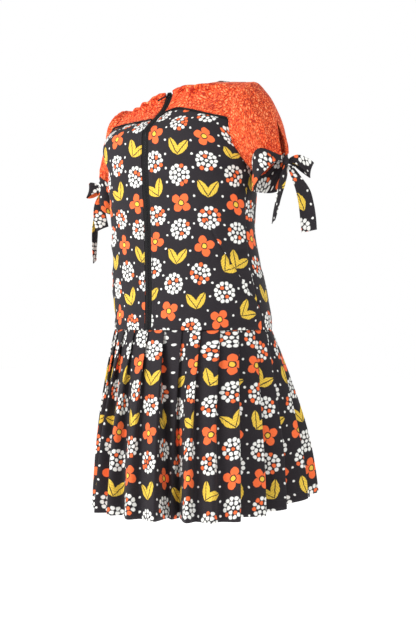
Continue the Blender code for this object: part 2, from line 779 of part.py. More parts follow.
def seat_on_knot(row):
    """An end row of a ribbon, moved straight away from or towards the knot until it lies just off it."""
    x, y, z, half_width, facing, tilt = row
    way = unit(np.array((x, y, z)))
    scaled_way = way / (np.array(KNOT_HALF) + KNOT_CLEARANCE)
    reach = 0.0
    for share in (-1.0, -0.5, 0.0, 0.5, 1.0):
        aside = across_ribbon(facing, tilt) * half_width * share / (np.array(KNOT_HALF) + KNOT_CLEARANCE)
        square, cross = float(scaled_way @ scaled_way), float(scaled_way @ aside)
        root = cross ** 2 - square * (float(aside @ aside) - 1)
        if root > 0:
            reach = max(reach, (math.sqrt(root) - cross) / square)
    return (*(way * reach), half_width, facing, tilt)


def build_ribbon(name, side, table, seated):
    """A ribbon of the tie; the seated rows are the ends that the knot holds."""
    centre = np.array(KNOT_CENTRE[side])
    table = list(table)
    for number in seated:
        table[number] = seat_on_knot(table[number])
    steps = 2 * (len(table) - 1)
    grid = []
    for step in range(steps + 1):
        x, y, z, half_width, facing, tilt = along(table, step / 2)
        wide = across_ribbon(facing, tilt)
        line = []
        for column in range(RIBBON_COLUMNS + 1):
            share = 2 * column / RIBBON_COLUMNS - 1
            point = np.array((x, y, z)) + wide * half_width * share
            line.append(centre + point * np.array((side, 1.0, 1.0)))
        grid.append(line)
    faces = patch_faces(np.array(grid), False)
    add_cloth(name, faces, own_normals(faces), "dark_print")


def build_ties():
    tables = (
        (1, "left", LOOP_LEFT, TAIL_FRONT_LEFT, TAIL_BACK_LEFT),
        (-1, "right", LOOP_RIGHT, TAIL_FRONT_RIGHT, TAIL_BACK_RIGHT),
    )
    for side, hand, loop, tail_front, tail_back in tables:
        build_knot(side, hand)
        build_ribbon(f"tie_loop_{hand}", side, loop, (0, -1))
        build_ribbon(f"tie_tail_front_{hand}", side, tail_front, (0,))
        build_ribbon(f"tie_tail_back_{hand}", side, tail_back, (0,))


def zip_axes():
    """The point at the top of the zip, and the directions down it and out of it."""
    top = front_point(1, 0.0, NECK_ROW)
    down = unit(front_point(1, 0.0, NECK_ROW - 0.35) - top)
    out = np.array((0.0, down[2], -down[1]))
    return top, down, out


def add_extrusion(name, outline, place, half_width, cloth):
    """A flat outline in (down, out) axes, drawn out to both sides."""
    count = len(outline)
    vertices = [place(a, b, -half_width) for a, b in outline]
    vertices += [place(a, b, half_width) for a, b in outline]
    faces = [(number, (number + 1) % count, (number + 1) % count + count, number + count)
             for number in range(count)]
    faces += [tuple(reversed(range(count))), tuple(range(count, 2 * count))]
    return add_object(name, vertices, outward(vertices, faces), cloth, smooth=False)


def build_slider():
    top, down, out = zip_axes()
    across = np.array((1.0, 0.0, 0.0))

    def body_place(a, b, c):
        return top + down * a + out * b + across * c

    inner = WALL / 2 + SLIDER_GAP
    outer = inner + SLIDER_PLATE
    clamp = ((-SLIDER_HEAD, -outer), (SLIDER_LENGTH, -outer), (SLIDER_LENGTH, -inner),
             (-SLIDER_HEAD + SLIDER_POST, -inner), (-SLIDER_HEAD + SLIDER_POST, inner),
             (SLIDER_LENGTH, inner), (SLIDER_LENGTH, outer), (-SLIDER_HEAD, outer))
    slider = add_extrusion("zip_slider", clamp, body_place, SLIDER_HALF_WIDTH, "zip_metal")
    run, sideways = tab_axes()

    def crown_place(a, b, c):
        return top + down * CROWN_AT + run * a + out * (outer + b) + sideways * c

    foot, hole = CROWN_HALF_LENGTH, CROWN_HALF_LENGTH - CROWN_LEG
    arch = ((-foot, -CROWN_SINK), (-hole, -CROWN_SINK), (-hole, CROWN_HOLE), (hole, CROWN_HOLE),
            (hole, -CROWN_SINK), (foot, -CROWN_SINK), (foot, CROWN_HOLE + CROWN_LEG),
            (-foot, CROWN_HOLE + CROWN_LEG))
    crown = add_extrusion("crown", arch, crown_place, CROWN_HALF_WIDTH, "zip_metal")
    union = slider.modifiers.new("crown", "BOOLEAN")
    union.operation = "UNION"
    union.solver = "EXACT"
    union.object = crown
    joined = bpy.data.meshes.new_from_object(slider.evaluated_get(bpy.context.evaluated_depsgraph_get()))
    slider.modifiers.clear()
    slider.data = joined
    bpy.data.objects.remove(crown, do_unlink=True)


def tab_axes():
    """The way that the pull tab points in the plane of the zip, and the hinge's axis."""
    _, down, _ = zip_axes()
    across = np.array((1.0, 0.0, 0.0))
    ahead, aside = math.cos(math.radians(TAB_SWING)), math.sin(math.radians(TAB_SWING))
    return down * ahead - across * aside, down * aside + across * ahead


def tab_hinge():
    top, down, out = zip_axes()
    return top + down * CROWN_AT + out * (WALL / 2 + SLIDER_GAP + SLIDER_PLATE + CROWN_HOLE / 2)


def build_pull_tab():
    """A flat tab whose end bar passes under the slider's crown."""
    _, _, out = zip_axes()
    run, sideways = tab_axes()
    lean = math.radians(TAB_LEAN)
    reach = run * math.cos(lean) + out * math.sin(lean)
    hinge = tab_hinge()
    half_bar = TAB_WALL / 2
    lengths = (-half_bar, half_bar, TAB_WINDOW_END, TAB_WINDOW_END + TAB_NECK,
               TAB_LENGTH - TAB_NECK, TAB_LENGTH - TAB_TIP, TAB_LENGTH)
    grid = []
    for length, narrow in zip(lengths, TAB_TAPER):
        widths = (-TAB_HALF_WIDTH, -TAB_WINDOW_HALF_WIDTH, TAB_WINDOW_HALF_WIDTH, TAB_HALF_WIDTH)
        grid.append([hinge + reach * length + sideways * width * narrow for width in widths])
    faces = patch_faces(np.array(grid), False)
    del faces[TAB_WINDOW_FACE]
    tab = add_cloth("zip_pull_tab", faces, own_normals(faces), "zip_metal", wall=TAB_WALL)
    tab.data.transform(Matrix.Translation(Vector(-hinge)))
    tab.location = Vector(hinge)


def ring_table():
    """Arc length round the waist seam against angle, from the middle of the front leftward."""
    angles = np.linspace(0.0, 2 * math.pi, 1441)
    depth = np.where(np.cos(angles) > 0, RING_FRONT, RING_BACK)
    points = np.stack((RING_HALF_WIDTH * np.sin(angles), RING_CENTRE_Y - depth * np.cos(angles)), axis=1)
    steps = np.linalg.norm(np.diff(points, axis=0), axis=1)
    return np.concatenate(((0.0,), np.cumsum(steps))), angles


def ring_point(arc, depth, table):
    """A point at the waist seam: arc round it, depth inside it."""
    arcs, angles = table
    angle = float(np.interp(arc % arcs[-1], arcs, angles))
    radius = RING_FRONT if math.cos(angle) > 0 else RING_BACK
    normal = unit(np.array((math.sin(angle) / RING_HALF_WIDTH, -math.cos(angle) / radius)))
    point = np.array((RING_HALF_WIDTH * math.sin(angle), RING_CENTRE_Y - radius * math.cos(angle)))
    return point + normal * depth


def hem_point(lobe, last, up, down):
    """A point of the hem in plan, on the long or the short side of a lobe, and its lift."""
    ridge_angle, ridge, valley_angle, valley, lift = lobe
    start_angle, start = (last[2], last[3])
    if down > 0:
        angle = ridge_angle + (valley_angle - ridge_angle) * down
        radius = ridge + (valley - ridge) * (1 - math.cos(math.pi * down)) / 2
        rise = lift
    else:
        start_angle -= 360 if start_angle > ridge_angle else 0
        angle = start_angle + (ridge_angle - start_angle) * up
        radius = start + (ridge - start) * (1 - math.cos(math.pi * up)) / 2
        rise = last[4] + (lift - last[4]) * up
    turn = math.radians(angle)
    return np.array((radius * math.sin(turn), -radius * math.cos(turn))), rise


def skirt_lines():
    """Closed lines round the skirt, from the waist seam down to the hem."""
    table = ring_table()
    pitch = table[0][-1] / PLEATS
    seam, hem, lifts = [], [], []
    for number, lobe in enumerate(HEM_LOBES):
        last = HEM_LOBES[number - 1]
        fold = (number + FRONT_FIRST_PLEAT) * pitch
        for (panel, overlap, extra, layers), (up, down) in zip(PLEAT_AT_SEAM, PLEAT_AT_HEM):
            arc = fold - pitch + panel * pitch + overlap * PLEAT_OVERLAP + extra
            seam.append(ring_point(arc, layers * LAYER, table))
            point, lift = hem_point(lobe, last, up, down)
            hem.append(point)
            lifts.append(lift)
    lines = []
    for share in SKIRT_ROWS:
        opened = share * (1 + SKIRT_EASE * (1 - share))
        line = []
        for start, end, lift in zip(seam, hem, lifts):
            plan = start + (end - start) * opened
            height = WAIST_SEAM_Z + (HEM_Z - WAIST_SEAM_Z) * share + lift * share ** 3
            line.append(np.array((plan[0], plan[1], height)))
        lines.append(line)
    return np.array(lines)


def build_skirt():
    lines = skirt_lines()
    per_pleat = len(PLEAT_AT_SEAM)
    count = lines.shape[1]
    seam_point = per_pleat - 2
    right = seam_point - per_pleat
    left = right + (FRONT_LAST_PLEAT - FRONT_FIRST_PLEAT + 1) * per_pleat
    around = np.concatenate((lines, lines[:, :1]), axis=1)
    normals = own_normals(patch_faces(around, True))
    for name, first, last in (("skirt_front", right, left), ("skirt_back", left, right + count)):
        columns = [number % count for number in range(first, last + 1)]
        faces = patch_faces(lines[:, columns], True)
        add_cloth(name, faces, normals, "dark_print", level_ends=(WAIST_SEAM_Z,))


def main():
    clear_scene()
    normals = build_body()
    build_sleeves(normals)
    build_piping(normals)
    build_ties()
    build_slider()
    build_pull_tab()
    build_skirt()


main()
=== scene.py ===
# A drop-waist printed dress: cloth, piping, zip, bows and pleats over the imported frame.
# Metres. Z is up, the front of the dress faces -Y and the wearer's left is +X.
import math

import bpy
import numpy as np
from bpy.props import FloatProperty, FloatVectorProperty, IntProperty, PointerProperty
from bpy.types import Operator, Panel, PropertyGroup
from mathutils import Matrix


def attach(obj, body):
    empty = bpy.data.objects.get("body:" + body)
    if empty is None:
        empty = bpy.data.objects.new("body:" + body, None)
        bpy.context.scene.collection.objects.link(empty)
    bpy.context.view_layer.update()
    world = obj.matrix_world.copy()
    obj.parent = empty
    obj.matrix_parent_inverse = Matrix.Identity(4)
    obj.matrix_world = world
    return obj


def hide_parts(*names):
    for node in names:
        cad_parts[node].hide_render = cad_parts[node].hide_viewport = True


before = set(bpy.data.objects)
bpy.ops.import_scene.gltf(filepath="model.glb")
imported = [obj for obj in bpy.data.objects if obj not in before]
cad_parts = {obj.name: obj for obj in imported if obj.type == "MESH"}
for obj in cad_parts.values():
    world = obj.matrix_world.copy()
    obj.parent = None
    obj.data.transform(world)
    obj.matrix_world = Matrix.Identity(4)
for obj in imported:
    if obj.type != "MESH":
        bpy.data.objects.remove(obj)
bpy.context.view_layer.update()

bl_info = {
    "name": "Printed drop-waist dress",
    "version": (1, 0, 0),
    "blender": (4, 5, 0),
    "location": "View3D > Sidebar > Dress",
    "description": "Builds a printed drop-waist dress with yokes, an exposed zip, tied sleeves and pleats",
    "category": "Object",
}

SIDES = ((1, "left"), (-1, "right"))
BODY = "dress"

# Heights and widths that the tables below share
WAIST_SEAM_Z = -0.5565
HEM_Z = -0.950
ZIP_HALF_WIDTH = 0.0095
RIGHT_SHOULDER_DROP = 0.034
DROP_FULL_Z = -0.030
DROP_NONE_Z = -0.160
SHOULDER_TIP_X = 0.166

# Rows of the body, from the waist seam (row 0) to the shoulder seam
ARMPIT_ROW = 7
NECK_ROW = 12
FRONT_TOP_ROW = 16
BACK_TOP_ROW = 15

# Middle line of the front, then the neck edge: x, y, z, turn (degrees), fullness
FRONT_MIDDLE = (
    (0.000, -0.1464, WAIST_SEAM_Z, 90, 0.000),
    (0.000, -0.1448, -0.520, 90, 0.000),
    (0.000, -0.1440, -0.475, 90, 0.000),
    (0.000, -0.1452, -0.430, 90, 0.000),
    (0.000, -0.1462, -0.375, 90, 0.001),
    (0.000, -0.1482, -0.320, 90, 0.003),
    (0.000, -0.1520, -0.262, 90, 0.008),
    (0.000, -0.1548, -0.205, 88, 0.013),
    (0.000, -0.1545, -0.160, 80, 0.010),
    (0.000, -0.1498, -0.1277, 70, 0.006),
    (0.000, -0.1147, -0.0955, 64, 0.003),
    (0.000, -0.0882, -0.0709, 58, 0.000),
    (0.000, -0.0730, -0.0410, 52, 0.000),
    (0.024, -0.0770, -0.0300, 48, 0.000),
    (0.048, -0.0560, -0.0260, 42, 0.000),
    (0.062, -0.0280, -0.0190, 36, 0.000),
    (0.067, 0.0100, -0.0100, 30, 0.000),
)

# Middle line of the back, with the same columns
BACK_MIDDLE = (
    (0.000, 0.160, WAIST_SEAM_Z, 90, 0.000),
    (0.000, 0.157, -0.520, 90, 0.000),
    (0.000, 0.150, -0.475, 90, 0.000),
    (0.000, 0.135, -0.430, 90, 0.000),
    (0.000, 0.111, -0.375, 90, 0.000),
    (0.000, 0.102, -0.320, 90, 0.000),
    (0.000, 0.111, -0.262, 90, 0.002),
    (0.000, 0.118, -0.205, 86, 0.004),
    (0.000, 0.117, -0.150, 72, 0.004),
    (0.000, 0.109, -0.100, 62, 0.003),
    (0.000, 0.094, -0.058, 56, 0.000),
    (0.000, 0.078, -0.030, 50, 0.000),
    (0.000, 0.066, -0.012, 46, 0.000),
    (0.032, 0.059, -0.007, 44, 0.000),
    (0.058, 0.036, -0.005, 38, 0.000),
    (0.067, 0.010, -0.010, 30, 0.000),
)

# Side seam, rows 0 to the armpit: x, y, z
SIDE_SEAM = (
    (0.188, 0.012, WAIST_SEAM_Z),
    (0.187, 0.006, -0.520),
    (0.184, -0.008, -0.475),
    (0.180, -0.017, -0.430),
    (0.1765, -0.025, -0.375),
    (0.175, -0.030, -0.320),
    (0.1745, -0.026, -0.262),
    (0.176, -0.010, -0.205),
)

# Front and back of the armhole, from the armpit up to the shoulder tip: x, y, z
ARMHOLE_FRONT = (
    (0.176, -0.010, -0.205),
    (0.176, -0.072, -0.168),
    (0.171, -0.086, -0.128),
    (0.167, -0.077, -0.094),
    (0.166, -0.062, -0.069),
    (0.166, -0.049, -0.053),
    (0.166, -0.036, -0.041),
    (0.166, -0.022, -0.032),
    (0.166, -0.006, -0.025),
    (0.166, 0.010, -0.021),
)
ARMHOLE_BACK = (
    (0.176, -0.010, -0.205),
    (0.172, 0.038, -0.178),
    (0.166, 0.058, -0.130),
    (0.164, 0.062, -0.092),
    (0.164, 0.054, -0.066),
    (0.164, 0.044, -0.046),
    (0.165, 0.033, -0.031),
    (0.166, 0.022, -0.022),
    (0.166, 0.010, -0.021),
)

# Rows of the yoke seam, from the zip to the armhole
YOKE_SEAM_LEFT = ((10.00,), (10.40,), (10.66,), (10.33,), (9.83,), (9.47,))
YOKE_SEAM_RIGHT = ((9.80,), (9.84,), (9.94,), (10.18,), (10.50,), (10.45,))

# Sections of each sleeve and, from BAND_ROW on, of its tie band: x and z of the outer line,
# x and z of the underarm line, depth to the front, depth to the back, lift of front and back
SLEEVE_LEFT = (
    (0.184, -0.029, 0.1800, -0.2090, 0.084, 0.063, 0.000),
    (0.203, -0.051, 0.1820, -0.2118, 0.081, 0.062, 0.002),
    (0.217, -0.075, 0.1835, -0.2146, 0.076, 0.059, 0.005),
    (0.229, -0.104, 0.1850, -0.2174, 0.070, 0.056, 0.010),
    (0.239, -0.136, 0.1860, -0.2202, 0.064, 0.053, 0.018),
    (0.2455, -0.164, 0.1870, -0.2230, 0.059, 0.050, 0.025),
    (0.2480, -0.186, 0.1880, -0.2258, 0.053, 0.047, 0.029),
    (0.2490, -0.190, 0.1900, -0.2420, 0.056, 0.048, 0.007),
    (0.2480, -0.197, 0.1915, -0.2620, 0.058, 0.046, -0.017),
)
SLEEVE_RIGHT = (
    (0.183, -0.057, 0.1810, -0.2120, 0.078, 0.064, 0.000),
    (0.193, -0.080, 0.1820, -0.2170, 0.069, 0.066, 0.002),
    (0.205, -0.106, 0.1835, -0.2230, 0.061, 0.066, 0.005),
    (0.218, -0.137, 0.1850, -0.2300, 0.055, 0.064, 0.010),
    (0.231, -0.169, 0.1870, -0.2380, 0.053, 0.061, 0.018),
    (0.241, -0.198, 0.1885, -0.2470, 0.053, 0.057, 0.026),
    (0.244, -0.222, 0.1900, -0.2560, 0.051, 0.052, 0.030),
    (0.2445, -0.227, 0.1920, -0.2740, 0.052, 0.052, 0.007),
    (0.2430, -0.234, 0.1935, -0.2940, 0.052, 0.050, -0.017),
)
ARMHOLE_CENTRE_Z = {1: -0.115, -1: -0.130}
RIGHT_SLIT_TWIST = 0.055
BAND_ROW = 7
BAND_END_ROW = 9
SLIT_TOP_ROW = 4
SLIT_HALF_WIDTH = 0.026
BAND_END_HALF_WIDTH = 0.0225

# Tie: knot centres, and half sizes of a knot
KNOT_CENTRE = {1: (0.2530, 0.0060, -0.1975), -1: (-0.2478, -0.0098, -0.2345)}
KNOT_HALF = (0.0075, 0.0070, 0.0100)
KNOT_CLEARANCE = 0.00045

# Ribbons of the ties: x, y, z from the knot centre, half width, facing and tilt (degrees)
LOOP_LEFT = (
    (0.0085, 0.0060, 0.0020, 0.0045, 0, 90),
    (0.0185, 0.0130, 0.0030, 0.0100, -10, 88),
    (0.0295, 0.0240, -0.0040, 0.0140, -20, 82),
    (0.0370, 0.0370, -0.0150, 0.0165, -20, 78),
    (0.0330, 0.0460, -0.0190, 0.0160, -10, 78),
    (0.0210, 0.0390, -0.0130, 0.0120, 0, 82),
    (0.0100, 0.0240, -0.0050, 0.0080, 0, 88),
    (0.0030, 0.0115, -0.0010, 0.0045, 0, 90),
)
TAIL_BACK_LEFT = (
    (0.0060, 0.0070, -0.0105, 0.0050, -50, 0),
    (0.0140, 0.0190, -0.0330, 0.0110, -50, -2),
    (0.0215, 0.0330, -0.0600, 0.0155, -52, -2),
    (0.0255, 0.0400, -0.0900, 0.0165, -50, -2),
    (0.0280, 0.0430, -0.1190, 0.0170, -46, 0),
    (0.0300, 0.0450, -0.1480, 0.0170, -44, 12),
)
TAIL_FRONT_LEFT = (
    (0.0035, -0.0050, -0.0120, 0.0040, -5, 0),
    (0.0000, -0.0110, -0.0380, 0.0100, -5, 0),
    (-0.0060, -0.0150, -0.0680, 0.0120, 0, 6),
    (-0.0120, -0.0190, -0.1000, 0.0105, 5, 14),
    (-0.0170, -0.0220, -0.1300, 0.0070, 8, 42),
)
LOOP_RIGHT = (
    (0.0080, -0.0050, 0.0030, 0.0045, 0, 90),
    (0.0170, -0.0110, 0.0060, 0.0110, 0, 86),
    (0.0270, -0.0190, 0.0040, 0.0160, 10, 82),
    (0.0320, -0.0180, -0.0010, 0.0165, 20, 80),
    (0.0260, -0.0080, -0.0030, 0.0130, 20, 84),
    (0.0150, -0.0010, -0.0010, 0.0080, 10, 88),
    (0.0085, 0.0030, 0.0000, 0.0045, 0, 90),
)
TAIL_BACK_RIGHT = (
    (0.0090, 0.0000, -0.0090, 0.0040, -10, 0),
    (0.0130, -0.0060, -0.0380, 0.0080, -15, 0),
    (0.0150, -0.0120, -0.0780, 0.0100, -10, 4),
    (0.0150, -0.0150, -0.1220, 0.0100, -5, 8),
    (0.0140, -0.0160, -0.1660, 0.0080, 0, 35),
)
TAIL_FRONT_RIGHT = (
    (0.0010, -0.0090, -0.0105, 0.0050, 50, 0),
    (-0.0040, -0.0200, -0.0290, 0.0105, 52, 0),
    (-0.0115, -0.0290, -0.0520, 0.0140, 54, 4),
    (-0.0200, -0.0340, -0.0740, 0.0150, 54, 10),
    (-0.0280, -0.0370, -0.0920, 0.0150, 54, 26),
)

# Skirt pleats: 13 on the front, 13 on the back
PLEATS = 26
PLEAT_OVERLAP = 0.019
LAYER = 0.0023
RING_CENTRE_Y = 0.012
RING_HALF_WIDTH = 0.188
RING_FRONT = 0.1584
RING_BACK = 0.148
SKIRT_EASE = 0.75
FRONT_FIRST_PLEAT = -6
FRONT_LAST_PLEAT = 6

# Points of one pleat at the seam: panel, overlap, extra run, depth in layers
PLEAT_AT_SEAM = (
    (0.0, -1.0, 0.0015, -2.25),
    (0.0, 0.0, 0.0050, -1.40),
    (0.5, 0.0, 0.0000, -0.40),
    (1.0, 0.0, -0.0015, 0.00),
    (1.0, 0.0, 0.0000, -0.50),
    (1.0, 0.0, -0.0015, -1.00),
    (1.0, -1.0, 0.0015, -1.20),
    (1.0, -1.0, 0.0000, -1.70),
)
# The same points at the hem: how far up the long side of the lobe, how far down its short side
PLEAT_AT_HEM = (
    (0.12, 0.0),
    (0.38, 0.0),
    (0.64, 0.0),
    (0.86, 0.0),
    (1.00, 0.0),
    (1.00, 0.3),
    (1.00, 0.7),
    (1.00, 1.0),
)
# Lobes of the hem: ridge angle, ridge radius, valley angle, valley radius, lift
HEM_LOBES = (
    (-83, 0.226, -77, 0.198, 0.000),
    (-69, 0.222, -64, 0.194, 0.000),
    (-55, 0.219, -48, 0.186, 0.004),
    (-39, 0.220, -33, 0.196, 0.003),
    (-24, 0.232, -19, 0.204, 0.000),
    (-9, 0.237, -4, 0.212, 0.002),
    (6, 0.243, 10, 0.222, 0.000),
    (20.5, 0.247, 24, 0.192, 0.000),
    (27.5, 0.208, 31, 0.188, 0.000),
    (36.5, 0.255, 41, 0.235, 0.000),
    (48, 0.264, 52.5, 0.246, 0.000),
    (60, 0.270, 66, 0.214, 0.002),
    (81, 0.234, 87, 0.202, 0.002),
    (95, 0.246, 100, 0.222, 0.012),
    (108, 0.272, 112, 0.250, 0.030),
    (119, 0.286, 124, 0.252, 0.036),
    (133, 0.270, 139, 0.238, 0.016),
    (148, 0.266, 153, 0.236, 0.004),
    (162, 0.266, 168, 0.232, 0.000),
    (176, 0.264, 181, 0.236, 0.000),
    (191, 0.262, 197, 0.226, 0.002),
    (206, 0.262, 211, 0.230, 0.000),
    (221, 0.256, 227, 0.222, 0.000),
    (236, 0.252, 241, 0.222, 0.000),
    (250, 0.244, 255, 0.210, 0.002),
    (264, 0.236, 269, 0.206, 0.000),
)

# French dart of a front panel, from its point to the side seam: from the zip, above the waist seam
DART = (
    (0.1179, 0.2574),
    (0.1450, 0.1989),
    (0.1815, 0.1412),
    (0.2127, 0.0989),
    (0.2400, 0.0696),
    (0.2650, 0.0450),
)
DART_DEPTH = 0.0017
DART_HALF_WIDTH = 0.0026
DART_PUFF = 0.0022
DART_PUFF_REACH = 0.022
DART_TURN = math.radians(11)
DART_TURN_FADE = math.radians(170)

# Creases, in metres of cloth: start across, start up, end across, end up, half width, height
# (below 0 for a trough), bow
FRONT_CREASES = (
    (0.240, 0.352, 0.120, 0.318, 0.0110, 0.0030, 0.010),
    (0.240, 0.330, 0.150, 0.272, 0.0090, -0.0030, 0.008),
    (0.238, 0.300, 0.170, 0.222, 0.0100, 0.0026, 0.006),
    (0.236, 0.200, 0.120, 0.172, 0.0110, 0.0028, -0.010),
    (0.236, 0.178, 0.150, 0.150, 0.0080, -0.0028, -0.006),
    (0.240, 0.140, 0.130, 0.128, 0.0100, 0.0022, 0.006),
    (0.252, 0.052, 0.140, 0.110, 0.0120, 0.0030, 0.006),
    (0.250, 0.020, 0.100, 0.048, 0.0110, -0.0024, 0.008),
    (0.002, 0.345, 0.070, 0.300, 0.0110, -0.0020, 0.006),
    (0.002, 0.285, 0.062, 0.262, 0.0100, 0.0018, -0.004),
    (0.002, 0.235, 0.055, 0.214, 0.0090, -0.0018, -0.004),
    (0.002, 0.182, 0.048, 0.160, 0.0100, 0.0018, 0.003),
    (0.002, 0.128, 0.060, 0.104, 0.0110, -0.0020, 0.004),
    (0.002, 0.052, 0.075, 0.036, 0.0100, 0.0018, 0.004),
)
BACK_CREASES = (
    (-0.190, 0.205, 0.170, 0.222, 0.0110, -0.0026, 0.012),
    (-0.150, 0.235, 0.200, 0.246, 0.0100, 0.0024, 0.010),
    (-0.200, 0.262, 0.120, 0.256, 0.0110, -0.0020, -0.012),
    (-0.090, 0.176, 0.210, 0.182, 0.0120, 0.0022, -0.008),
    (-0.215, 0.150, -0.060, 0.178, 0.0110, -0.0018, 0.008),
    (0.225, 0.140, 0.070, 0.152, 0.0120, -0.0018, 0.006),
    (0.205, 0.390, 0.110, 0.310, 0.0130, 0.0024, 0.010),
    (-0.205, 0.392, -0.120, 0.300, 0.0120, 0.0022, -0.010),
    (0.200, 0.340, 0.130, 0.270, 0.0100, -0.0020, 0.006),
    (-0.200, 0.345, -0.140, 0.262, 0.0110, -0.0018, -0.006),
    (-0.050, 0.470, 0.080, 0.455, 0.0140, 0.0016, 0.010),
    (0.090, 0.060, 0.200, 0.020, 0.0130, 0.0018, 0.006),
    (-0.080, 0.070, -0.210, 0.030, 0.0120, 0.0018, -0.006),
)
YOKE_CREASES = (
    (0.020, 0.098, 0.002, 0.022, 0.0070, 0.0042, 0.003),
    (0.038, 0.104, 0.014, 0.014, 0.0060, -0.0042, 0.004),
    (0.054, 0.108, 0.032, 0.012, 0.0070, 0.0048, 0.004),
    (0.070, 0.112, 0.052, 0.016, 0.0065, -0.0042, 0.003),
    (0.086, 0.110, 0.074, 0.018, 0.0075, 0.0036, 0.002),
    (0.106, 0.098, 0.098, 0.020, 0.0080, -0.0026, 0.002),
    (0.132, 0.088, 0.118, 0.010, 0.0090, 0.0026, 0.004),
    (0.150, 0.072, 0.128, 0.024, 0.0070, -0.0022, 0.003),
)
SLEEVE_CREASES = (
    (0.045, 0.010, 0.070, 0.080, 0.0080, 0.0020, 0.006),
    (0.085, 0.060, 0.060, 0.150, 0.0080, -0.0034, 0.008),
    (0.105, 0.080, 0.084, 0.160, 0.0075, 0.0036, 0.006),
    (0.128, 0.090, 0.104, 0.165, 0.0070, -0.0032, 0.006),
    (0.120, 0.020, 0.140, 0.080, 0.0090, -0.0022, -0.006),
    (0.148, 0.070, 0.126, 0.160, 0.0075, 0.0030, 0.008),
    (0.225, 0.040, 0.210, 0.130, 0.0090, 0.0028, 0.006),
    (0.250, 0.020, 0.255, 0.110, 0.0080, -0.0026, 0.006),
    (0.285, 0.060, 0.270, 0.150, 0.0090, 0.0026, -0.006),
)
BAND_CREASES = (
    (0.000, 0.017, 0.100, 0.008, 0.0034, -0.0026, 0.002),
    (0.004, 0.025, 0.075, 0.020, 0.0030, 0.0020, -0.002),
    (0.002, 0.009, 0.050, 0.003, 0.0026, 0.0016, 0.001),
    (0.232, 0.017, 0.150, 0.010, 0.0034, -0.0026, 0.002),
    (0.232, 0.025, 0.175, 0.021, 0.0030, 0.0018, 0.001),
)

# Rows of the cloths that are sewn through
YOKE_STITCH_ROW = 2
BAND_STITCH_ROW = 2
HEM_STITCH_ROWS_UP = 4
BAND_LAYERS = 1.4

# Rows and columns of points of each sheet
FRONT_COLUMNS = 149
FRONT_ROWS_TO_ARMPIT = 157
FRONT_ROWS_TO_YOKE = 49
YOKE_COLUMNS = 91
YOKE_ROWS_TO_NECK = 21
YOKE_ROWS_TO_TOP = 45
BACK_ROWS = 166
BACK_HALF_COLUMNS = 91
ARMHOLE_FRONT_COLUMNS = 76
ARMHOLE_BACK_COLUMNS = 71
SLEEVE_ROWS = 85
BAND_ROWS = 21
RIBBON_ROWS_A_STEP = 14
RIBBON_COLUMNS = 25
RING_POINTS = 1441
ZIP_ROWS = 241
ZIP_COLUMNS = 13
TEETH_LINE_POINTS = 600
KNOT_RINGS = 28
KNOT_TURNS = 48

# Where creases fade out beside an edge of a sheet, in metres: start and end of the fade
FRONT_FADES = {"high": (0.0, 0.030), "low": (0.0, 0.012), "first": (-0.004, 0.012), "last": (0.0, 0.014)}
BACK_FADES = {"low": (0.0, 0.014), "high": (0.0, 0.020), "first": (0.0, 0.014), "last": (0.0, 0.014)}
YOKE_FADES = {"low": (0.0, 0.014), "last": (0.0, 0.012), "first": (-0.002, 0.010)}

# Soft unevenness of each cloth: height and length
FRONT_WAVES = (0.0007, 0.16)
BACK_WAVES = (0.0009, 0.17)
YOKE_WAVES = (0.0005, 0.10)
SLEEVE_WAVES = (0.0008, 0.10)

# How much the creases differ on the two sides, and where each cloth's waves start
FRONT_UNEVENNESS = 0.25
BACK_UNEVENNESS = 0.2
YOKE_UNEVENNESS = 0.3
SLEEVE_UNEVENNESS = 0.3
BAND_UNEVENNESS = 0.2
FRONT_PHASE = 1.3
BACK_PHASE = 0.7
YOKE_PHASE = 2.1
SLEEVE_PHASE = 0.9

# Seams turn in by SEAM_DIP within SEAM_REACH of an edge
SEAM_DIP = 0.0009
SEAM_REACH = 0.0035
ARMHOLE_DIP = (0.0005, 0.003)
SLEEVE_DIP = 0.0008
BAND_DIP = (0.0006, 0.002)
SKIRT_DIP = 0.0008

# Where each cloth starts in its print
FRONT_PRINT = (0.013, 0.031)
BACK_PRINT = (0.4, 0.012)
YOKE_PRINT = (0.2, 0.1)
SLEEVE_PRINT = (0.5, 0.2)
BAND_PRINT = (0.3, 0.0)
BAND_PRINT_ASIDE = 0.05
SKIRT_BACK_PRINT = 0.9
SKIRT_PRINT_DROP = 0.047

# The cloth bulges a little on both sides of the dart (distance, half width, height) and beside the zip
DART_LIP = (0.005, 0.003, 0.0004)
ZIP_LIP = 0.0004
ZIP_LIP_REACH = (0.010, 0.004)

# Angles below the dart, in radians, from which its turned print fades back
DART_TURN_START = 0.15
DART_ANGLE_SLACK = 0.35

# How the sleeve leaves the armhole: pull outward, and the step that its own slope is read over
SLEEVE_PULL = 1.1
SLEEVE_SLOPE_STEP = 0.05

# Easing at the sleeve head and gathers above the band: count, height and rows
HEAD_GATHERS = 27
HEAD_GATHER_HEIGHT = 0.0009
HEAD_GATHER_ROW = 0.35
HEAD_GATHER_SPREAD = 0.6
GATHER_HEIGHT = 0.0023
GATHER_START_ROWS = (4.6, 6.6)
GATHER_END_ROWS = (6.8, 7.0)
BAND_RISE = 0.0005

# Ribbons of the bows: gathers at the knot, ripples and curl
RIBBON_HELD_STEPS = 1.6
RIBBON_GATHERS = 3
RIBBON_GATHER_HEIGHT = 0.0016
RIBBON_RIPPLE_HEIGHT = 0.0012
RIBBON_RIPPLE_RATE = 2.1
RIBBON_CURL = 0.16
RIBBON_MIDDLE = 0.4
RIBBON_LAYERS = 1.2

